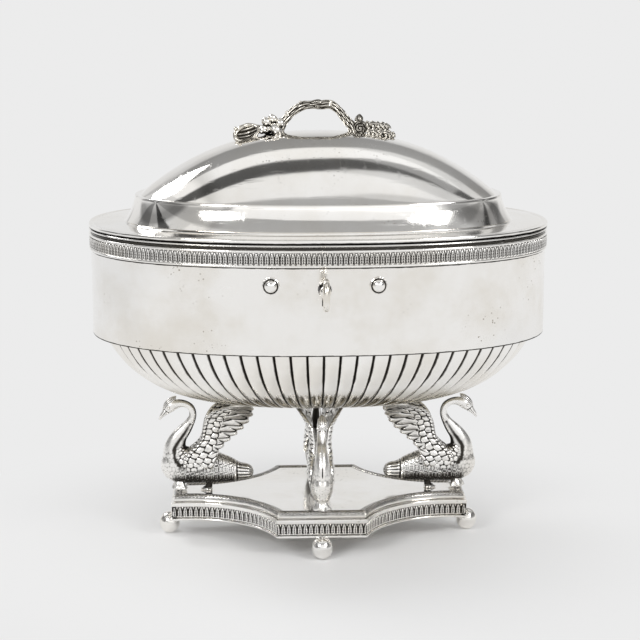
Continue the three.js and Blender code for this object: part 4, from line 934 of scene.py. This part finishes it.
# ---------------------------------------------------------------- rim band, handle, key and studs
def build_rim_band():
    flat = rim_loop(0.12, 0, even_angles(1440))[:, :2]
    frieze = relief_band(flat, 125.35, 130.25, leaves=250, height=0.5, steps=4250, rows=28, back=0.5)
    add_piece("rim_frieze", frieze, "box", RIM_CHASED, ["rim_band"], 80, chase=(4, 1.2))
    for name, low, high in (("rim_bead_low", BAND_BOTTOM_Z, 125.45), ("rim_bead_high", 130.15, BAND_TOP_Z)):
        add_piece(name, rim_ring(half_round(low, high, 0.85), even_angles(480)), "box", POLISHED)


BRANCH = [
    [-16.6, -1.2, 2.5, 2.5], [-15.6, 1.6, 2.1, 2.2], [-14.0, 4.0, 1.85, 1.9], [-11.6, 6.6, 1.75, 1.8],
    [-8.8, 8.9, 1.9, 1.9], [-6.0, 10.2, 1.95, 1.9], [-3.4, 10.5, 1.75, 1.8], [-1.4, 10.6, 2.0, 2.1],
    [0.0, 10.6, 2.45, 2.5], [1.3, 10.4, 2.1, 2.2], [3.2, 10.6, 1.95, 1.9], [5.4, 10.3, 1.9, 1.9],
    [7.6, 8.8, 1.75, 1.8], [9.6, 6.6, 1.75, 1.8], [11.4, 4.4, 1.85, 1.9], [13.2, 2.2, 2.0, 2.0],
    [15.0, -0.4, 2.3, 2.3],
]
STUBS = [(-7.0, 11.2, 0.8, 0.75, 1.6, -0.5), (4.8, 11.6, -0.9, 0.8, 1.5, 0.5),
         (-12.6, 7.4, -1.2, 0.7, 1.4, -0.7), (10.0, 7.3, 1.0, 0.7, 1.4, 0.7)]
BERRIES = [
    (-20.6, 0.9, -0.2, 2.5), (-17.6, 0.7, -3.0, 2.5), (-17.8, 1.0, 2.9, 2.3), (-21.4, 3.5, -1.9, 2.05),
    (-18.7, 4.5, -0.9, 2.2), (-15.9, 3.1, -1.8, 2.0), (-22.9, 0.6, -2.4, 1.9),
]


def branch_skin():
    """A gnarled branch with a knot in its middle and four stubs of cut twigs."""
    turn, count = turns(72), 260
    loops = []
    for k, ((x, z, radius, width), heading) in enumerate(zip(*path_through(BRANCH, count))):
        s = k / (count - 1)
        twist = 2.2 * sin(s * 7.0) + s * 3.0
        ridges = 0.62 * ridged(3.5 * turn + twist, 1) + 0.38 * ridged(6 * turn - 1.7 * twist + 0.8, 1)
        breaks = 0.5 + 0.5 * np.sin(s * 61 + 3 * np.sin(3 * turn + s * 9))
        knot = bell(x - 0.1, 1.1)
        bark = (0.60 * (ridges - 1.0) + 0.10 * (breaks - 0.5)) * (1 - 0.75 * knot)
        bark = bark + knot * (0.12 * np.sin(5 * turn) - 0.40)
        loops.append(ring_across(x, z, heading, radius + bark, width + bark, turn))
    skin = Build(loops)
    for x, z, y, radius, length, lean in STUBS:
        rows = [[x + lean * way, z + rise, radius * size, radius * size] for way, rise, size in (
            (0, -1.4, 1.3), (0.5, 0, 1), (1, length * 0.35, 0.8), (1.1, length * 0.5, 0.3))]
        skin.join(limb(rows, 12, 16).moved(lambda p: p + [0, y, 0]))
    return skin


def berry(x, z, y, radius, seed):
    rng = random.Random(seed)
    sides, rings = 28, 18
    turn = turns(sides)
    lean = rng.uniform(-0.5, 0.5), rng.uniform(-0.6, 0.2)
    crease = 1 - 0.05 * np.abs(np.cos(2.5 * turn)) ** 6
    loops = []
    for polar in pi * np.arange(1, rings) / rings:
        reach = radius * sin(polar) * crease
        height = -radius * cos(polar) + 0.28 * bell(pi - polar, 0.32)
        loops.append(round_ring(x + lean[0] * height, y + lean[1] * height, z + height, reach, turn))
    return Build(loops)


def leaf_skin(rows, cup, tilt, lobes, deep, count=90):
    """A veined leaf on a spine of [x, z, half width], lobed at its edges, cupped, and tilted to the front."""
    line, headings = path_through(rows, count)
    way = 1 if line[-1, 0] > line[0, 0] else -1
    v = np.linspace(-1, 1, 45)
    loops = []
    for k, ((x, z, half), heading) in enumerate(zip(line, headings)):
        s = k / (count - 1)
        half = max(half * (1 - deep * (1 - ridged(s * lobes * pi, 0.6))), 0.05)
        side_vein = ridged((s * lobes - np.abs(v) * 0.55) * pi, 0.7)
        veins = 0.42 * side_vein * (1 - 0.3 * np.abs(v)) - 0.36 * bell(v, 0.08)
        fine = 0.07 * np.sin((s * lobes * 4 - np.abs(v) * 2.2) * pi * 2)
        body = round_top(v ** 10) * round_top(abs(2 * s - 1) ** 16)
        middle = cup * half * v ** 2
        sides = [ring(x - way * heading[1] * lift, half * v, z + way * heading[0] * lift)
                 for lift in (middle + (0.3 + veins + fine) * body, middle - 0.3 * body)]
        loop = tilted(np.vstack([sides[0], sides[1][::-1]]), tilt)
        loops.append(loop[::-1] if way > 0 else loop)
    return Build(loops)


def cupped_leaf():
    """The left leaf: an oval hollow that looks to the front, with a thick rolled rim and a ball at its tip."""
    centre, along = np.array([-29.6, -1.4, -0.9]), np.array([-0.93, 0.0, -0.36])
    facing = np.array([-0.10, -0.80, 0.59])
    facing -= along * facing.dot(along)
    facing /= np.linalg.norm(facing)
    across = np.cross(facing, along)
    long_half, short_half, deep, thick = 5.0, 3.5, 1.7, 0.8
    turn, around = turns(64), turns(14)
    loops = []
    for side, shares in ((1, np.linspace(0.06, 1, 14)), (-1, np.linspace(1, 0.06, 10))):
        for share in shares:
            ridge = 7.6 * share * np.sin(turn) + 1.3 * share * np.cos(turn)
            veins = 0.6 * ridged(ridge, 0.7) * (1 - share ** 4) * (side > 0)
            depth = -deep * (1 - share ** 2) - (thick if side < 0 else 0.0) + veins
            flat = share * (np.outer(long_half * np.cos(turn), along) + np.outer(short_half * np.sin(turn), across))
            loops.append(centre + flat + np.outer(depth, facing))
    cup = Build(loops[::-1])
    loops = []
    for t in turn:
        spot = centre + long_half * cos(t) * along + short_half * sin(t) * across
        outward = cos(t) * along / long_half + sin(t) * across / short_half
        outward /= np.linalg.norm(outward)
        wire = 0.62 + 0.35 * bell(sin(t - 3.9) - 1, 0.8) + 0.08 * sin(9 * t)
        loops.append(spot + wire * (np.outer(np.cos(around), outward) + np.outer(np.sin(around), facing)))
    cup.loft(loops, joined=True)
    return cup.join(ball(centre + along * 4.2 + np.array([-0.6, -0.2, 3.3]), 0.85, 18, 12))


def rosette_skin():
    """A rose whose petals run in a spiral, looking to the front and the back."""
    turn = turns(60)
    loops = []
    for face, shares in ((1, np.linspace(0.04, 1, 26)), (-1, np.linspace(1, 0.04, 26)[1:])):
        for share in shares:
            swirl = ridged(pi * (2.9 * share - face * turn / (2 * pi)), 0.6)
            petals = 0.35 * ridged(2.5 * turn + 4 * share, 0.5) * share
            radius = 3.5 * share * (1 - 0.07 * ridged(3.5 * turn, 1) * share)
            rise = 2.9 * round_top((0.93 * share) ** 2) + 0.55 * swirl * (1 - 0.4 * share) + petals - 0.6
            loops.append(ring(16.9 + radius * np.cos(turn), face * rise, 0.9 + radius * np.sin(turn)))
    return Build(loops)


def bud_skin():
    turn = turns(32)
    loops = []
    for t in np.linspace(0.04, 0.97, 22):
        radius = 1.75 * sin(pi * t) ** 0.8 * (1.1 - 0.3 * t) * (1 + 0.10 * ridged(2.5 * turn + 3.5 * t, 1))
        loops.append(round_ring(16.4 + 0.6 * t, 0.2, 2.6 + 4.2 * t, radius, turn))
    return Build(loops)


def lobed_leaf(root, tip, half, tilt, shift, lobes, seed):
    """A leaf of separate rounded lobes on both sides of a midrib, tilted to the front."""
    rng = random.Random(seed)
    leaf, turn = Build(), turns(20)
    origin, run = np.array([root[0], 0.0, root[1]]), np.array([tip[0] - root[0], 0.0, tip[1] - root[1]])
    length = np.linalg.norm(run)
    along = run / length
    lift, across = np.array([-along[2], 0.0, along[0]]), np.array([0.0, 1.0, 0.0])

    def lobe(start, way, reach, width, thick):
        loops = []
        for t in np.linspace(0.02, 0.98, 18):
            size = sin(pi * t ** 0.8) ** 0.6
            crease = 1 - 0.45 * bell(turn - pi / 2, 0.30)
            middle = start + way * reach * t + lift * (1.0 * sin(pi * t * 0.9) - 0.9 * t * t)
            loops.append(middle + np.outer(width * size * np.cos(turn), np.cross(way, lift))
                         + np.outer(thick * size * crease * np.sin(turn), lift))
        leaf.loft(loops)

    for k in range(lobes):
        s = (k + 0.5) / lobes
        size = half * sin(pi * (0.18 + 0.68 * s))
        for sign in (-1, 1):
            turn_out = radians(62 - 34 * s + rng.uniform(-6, 6))
            way = along * cos(turn_out) + across * sign * sin(turn_out)
            lobe(origin + along * length * s * 0.86, way, size * rng.uniform(0.9, 1.15), 0.85 + 0.10 * half, 0.75)
    lobe(origin + along * length * 0.62, along, length * 0.40, 1.1, 0.8)
    lobe(origin - along * 0.4, along, length * 0.95, 0.7, 1.0)
    return leaf.moved(tilted, tilt, shift)


def onto_dome(p, sink=0.25):
    """Keeps a cast leaf from dipping below the lid's skin."""
    skin = SHOULDER_TOP_Z + DOME_RISE * arch(oval_share(p, DOME_A, DOME_B), DOME_POWERS)
    return ring(p[:, 0], p[:, 1], np.maximum(p[:, 2] + DOME_TOP_Z, skin - sink))


def build_handle():
    fruit, berry_shade_below = Build(), []
    for seed, (x, z, y, radius) in enumerate(BERRIES):
        one = berry(x, z, y, radius, seed)
        fruit.join(one)
        # painted shade: each berry is darker on its lower half
        berry_shade_below.append(0.30 * (1 - smooth_step((np.array(one.points)[:, 2] - z) / radius, -0.6, 0.25)))
    curl = leaf_skin([[-20.5, 0.6, 1.2], [-23.0, 1.2, 2.2], [-26.0, 1.4, 2.2], [-28.6, 0.6, 0.9]], -0.35,
                     radians(30), 5, deep=0.3)
    left = cupped_leaf().join(curl.moved(lambda p: p + [0, 2.0, 0]))
    right = Build().join(*(lobed_leaf(*values) for values in (
        ((19.0, 0.6), (31.6, -3.2), 4.6, 0.62, 0.0, 5, 1), ((19.0, 2.6), (30.2, 1.2), 3.0, 0.55, 1.6, 5, 2),
        ((19.5, -0.6), (26.5, -2.6), 3.0, 0.95, -2.4, 4, 3), ((24.5, -1.0), (32.2, -4.4), 2.6, 0.9, -2.2, 4, 4))))
    for name, build, node, material, rounds, painted_shade in (
            ("handle_bark", branch_skin(), "handle_branch", HANDLE, 4, 0.0),
            ("handle_fruit", fruit, "handle_berries", HANDLE_BRIGHT, 3, np.concatenate(berry_shade_below)),
            ("handle_leaf_l", left, "handle_leaf_left", HANDLE, 3, -0.03),
            ("handle_bloom", rosette_skin().join(bud_skin()), "handle_flower", HANDLE, 2, 0.0),
            ("handle_leaf_r", right, "handle_leaves_right", HANDLE, 3, 0.0)):
        add_piece(name, build.moved(onto_dome), "lid", material, [node], 70, outwards=True,
                  chase=(rounds, 1.0), painted_shade=painted_shade)


def build_studs():
    turn = turns(96)
    scallop = 1 + 0.045 * np.abs(np.cos(6 * turn)) - 0.03
    loops = []
    for radius, y in ((2.4, -1.0), (2.9, -0.98), (3.25, -0.82), (3.42, -0.55), (3.45, -0.1)):
        reach = radius * (scallop if radius > 2.6 else 1.0)
        loops.append(ring(reach * np.sin(turn), y, reach * np.cos(turn)))
    collar = Build(loops)
    reach = np.hypot(*np.array(collar.points)[:, [0, 2]].T)
    # painted shadow: the inner collar round the head is darkened, and its outer lip is made lighter
    painted_shade = 0.5 * (reach < 3.35) - 0.2 * (reach > 3.35)
    profile = [(0.05, -2.85)]
    profile += [(STUD_RADIUS * sin(t), -0.95 - 1.9 * cos(t)) for t in np.linspace(0.1, 1.5, 16)]
    head = turned(profile + [(STUD_RADIUS, -0.9), (2.2, -0.86), (1.1, -0.84), (1.1, 3.2)], 48, along_y)
    for name, x in (("left", -STUD_X), ("right", STUD_X)):
        slope = atan(half_width(x - 0.5, WALL_INSET) - half_width(x + 0.5, WALL_INSET))
        at = x, -half_width(x, WALL_INSET), STUD_Z, slope
        add_piece(f"stud_{name}_collar", collar.moved(set_down, *at), "box", RIM_CHASED, [f"stud_collar_{name}"],
                  sharp=60, outwards=True, chase=(3, 1.0), painted_shade=painted_shade)
        add_piece(f"stud_{name}_head", head.moved(set_down, *at), "box", BALL, [f"stud_{name}"], sharp=50,
                  outwards=True)


def build_key():
    centre_y, half_y, half_z = -72.8, 4.4, 5.4
    around, loops = turns(24), []
    for t in turns(96):
        wire = 1.1 * (1 - 0.12 * cos(t))
        reach = wire * np.cos(around)
        loops.append(ring(1.05 * wire * np.sin(around), centre_y + (half_y + reach) * cos(t),
                          (half_z + reach) * sin(t)))
    stem = [(0.3, -68.7), (1.3, -68.5), (1.8, -68.0), (1.8, -67.3), (2.0, -67.1), (2.2, -66.7), (2.2, -65.9),
            (2.0, -65.5), (1.8, -65.3), (1.75, -64.4), (1.95, -64.2), (1.95, -63.7), (1.75, -63.5), (1.75, -50.6),
            (1.6, -50.4), (1.25, -50.4), (1.2, -50.6), (1.2, -62.6), (0.3, -62.9)]
    key = Build(loops, joined=True).join(turned(stem, 48, along_y)).moved(lambda p: p + [0, 0, KEYHOLE_Z])
    high, low = 114.4, 109.75
    outline = [(-52.6, high), (-52.6, low + 2.2), (-52.1, low + 2.2), (-52.1, low), (-51.0, low),
               (-51.0, low + 1.4), (-50.4, low + 1.4), (-50.4, high)]
    key.loft([np.array([(x, y, z) for y, z in outline]) for x in (-0.75, 0.75)])
    add_piece("key_steel", key, "key", KEY_STEEL, ["key"], 40, outwards=True)


# ---------------------------------------------------------------- hinge
KNUCKLE, KNUCKLE_STEP, HINGE_HALF = 7.6, 8.0, 19.8
HINGE_Y, HINGE_Z = 63.9, 131.7


def hinge_strip(build, low, high, from_x, to_x):
    section = rounded([(-1.5, low), (-1.5, high), (-0.3, high), (-0.3, low)], 0.25)
    build.loft([np.array([(x, half_width(x, inset), z) for inset, z in section])
                for x in np.linspace(from_x, to_x, 25)])


def hinge_knuckle(build, start):
    section = [(0.95, 0), (1.95, 0), (2.2, 0.25), (2.2, KNUCKLE - 0.25), (1.95, KNUCKLE), (0.95, KNUCKLE)]
    radius, along = np.array(section).T
    build.loft([ring(start + along, HINGE_Y + radius * cos(t), HINGE_Z + radius * sin(t))
                for t in turns(40)], joined=True)


def build_hinge():
    leaves = {"box": Build(), "lid": Build()}
    hinge_strip(leaves["box"], BAND_BOTTOM_Z, 129.2, -HINGE_HALF, HINGE_HALF)
    hinge_strip(leaves["lid"], 134.2, 135.2, -HINGE_HALF, HINGE_HALF)
    for k in range(5):
        start = k * KNUCKLE_STEP - HINGE_HALF
        body, low, high = ("lid", HINGE_Z + 0.5, 134.4) if k % 2 else ("box", 129.0, HINGE_Z)
        hinge_strip(leaves[body], low, high, start, start + KNUCKLE)
        hinge_knuckle(leaves[body], start)
    for body, node in (("box", "hinge_body_leaf"), ("lid", "hinge_lid_leaf")):
        add_piece(f"hinge_{body}", leaves[body], body, POLISHED, [node], outwards=True)
    pin = turned([(0.55, -20.1), (0.8, -19.95), (0.8, 19.95), (0.55, 20.1)], 24,
                 lambda sine, cosine, along: (along, HINGE_Y + cosine, HINGE_Z + sine))
    add_piece("hinge_rod", pin, "box", STEEL, ["hinge_pin"], outwards=True)


# ---------------------------------------------------------------- stage, light and camera
PAPER_LEVEL = 0.838
FLOOR_RINGS = 0.15, 0.3, 0.6, 1.2, 2.5, 6.0
CEILING = [(0.0, PAPER_LEVEL), (0.05, 0.80), (0.10, 0.46), (0.20, 0.40), (0.325, 0.44), (0.335, 0.68),
           (0.444, 0.70), (0.450, 0.09), (0.524, 0.11), (0.530, 0.74), (0.622, 0.74), (0.632, 0.34),
           (0.775, 0.30), (0.80, 0.62), (0.88, 0.80), (1.0, PAPER_LEVEL)]
SIDES = [(0.0, 0.80), (0.05, 0.40), (0.085, 0.40), (0.11, 1.0), (0.24, 1.0), (0.26, 0.62), (0.30, 0.92),
         (0.70, 1.0), (0.80, 0.86), (0.86, 1.0), (0.90, 0.42), (0.96, 0.36), (1.0, 0.80)]


def build_stage():
    steps = 48
    points = [(0.0, 0.0, 0.0)] + [(reach * cos(t), reach * sin(t), 0)
                                  for reach in FLOOR_RINGS for t in turns(steps)]
    faces = [(0, 1 + i, 1 + (i + 1) % steps) for i in range(steps)]
    floor = add_mesh("floor", points, faces + grid_faces(len(FLOOR_RINGS), steps, start=1))
    floor.data.materials.append(floor_finish())


def floor_finish():
    """Pale paper: diffuse near the object, where it shows the shadow, and its own plain colour further out."""
    s = Shader("pale_floor")
    shadow_reach, plain_from = 0.03, 0.18
    s.finish((0.93, 0.93, 0.93, 1), 0.9, 0.0)
    s.shader.inputs["Specular IOR Level"].default_value = 0.1
    far = s.span(s.node("VectorMath", [s.place], operation="LENGTH").outputs["Value"],
                 shadow_reach, plain_from)
    path = s.node("LightPath").outputs
    seen = s.math("MAXIMUM", path["Is Camera Ray"], path["Is Glossy Ray"])
    seen = s.math("MAXIMUM", seen, path["Is Transmission Ray"])
    glow = s.node("Emission", [(PAPER_LEVEL, PAPER_LEVEL, PAPER_LEVEL, 1)])
    blend = s.node("MixShader", [s.times(far, seen), s.shader.outputs[0], glow.outputs[0]])
    s.put(s.output.inputs[0], blend.outputs[0])
    return s.material


def build_world():
    """A pale studio whose ceiling has darker bays. CEILING runs from the front horizon over the top to the back,
    as shares of half a turn, and SIDES from left to right. The bays lie further back on the right."""
    lag, horizon = 0.14, 0.12
    world = bpy.data.worlds.new("studio")
    bpy.context.scene.world = world
    world.use_nodes = True
    s = Nodes(world.node_tree)
    way = s.split(s.node("TexCoord").outputs["Generated"])
    share = s.math("DIVIDE", s.math("ARCTAN2", way["Z"], s.times(way["Y"], -1.0)), pi)
    share = s.math("SUBTRACT", share, s.times(s.math("MAXIMUM", way["X"], 0.0), lag))
    across = s.math("ADD", s.times(way["X"], 0.5), 0.5)
    above = s.span(way["Z"], 0.0, horizon, smooth=False)
    room = s.node("Background", [s.mix(above, s.ramp(share, CEILING), s.ramp(across, SIDES), "MULTIPLY")])
    s.node("OutputWorld", [room.outputs[0]])


def add_lamp(name, place, aim_z, size, power):
    light = bpy.data.lights.new(name, "AREA")
    light.shape, light.size, light.size_y, light.energy = "RECTANGLE", size[0], size[1], power
    lamp = bpy.data.objects.new(name, light)
    lamp.location = place
    lamp.rotation_euler = (Vector((0, 0, aim_z)) - Vector(place)).to_track_quat("-Z", "Y").to_euler()
    bpy.context.scene.collection.objects.link(lamp)


def build_camera():
    data = bpy.data.cameras.new("camera")
    camera = bpy.data.objects.new("camera", data)
    data.lens, data.sensor_width = 100.77, 36
    data.clip_start, data.clip_end = 0.05, 50
    camera.location = (-0.0297, -0.7332, 0.2372)
    camera.rotation_euler = (radians(90 - 11.09), 0, radians(-2.35))
    bpy.context.scene.collection.objects.link(camera)
    bpy.context.scene.camera = camera


build_camera()
build_stage()
build_world()
add_lamp("soft_front_top", (0, -0.496, 1.483), 0.12, (2.4, 0.50), 0.8)
add_lamp("soft_back_top", (0, 0.351, 1.527), 0.12, (2.4, 0.44), 0.8)
add_lamp("soft_left_back", (-0.80, 0.62, 1.0), 0.1, (0.45, 0.45), 4)
add_lamp("soft_left_front", (-0.9, -1.2, 1.0), 0.1, (0.5, 0.5), 8)
add_lamp("soft_right_front", (1.0, -0.9, 1.0), 0.1, (0.5, 0.5), 6)
add_lamp("soft_front", (0.3, -1.75, 0.95), 0.1, (2.8, 1.1), 5)
build_lid()
build_drum()
build_bowl()
build_base()
build_feet()
build_swans()
build_rim_band()
build_handle()
build_studs()
build_key()
build_hinge()

FINISHES = {"polished_silver": POLISHED, "cast_silver": POLISHED, "oxidised_silver": POLISHED,
            "inside_silver": INSIDE, "lock_steel": STEEL}
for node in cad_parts.values():
    for entry in node.material_slots:
        entry.material = FINISHES[entry.material.name.split(".")[0]]

bpy.context.scene.view_settings.view_transform = "Standard"
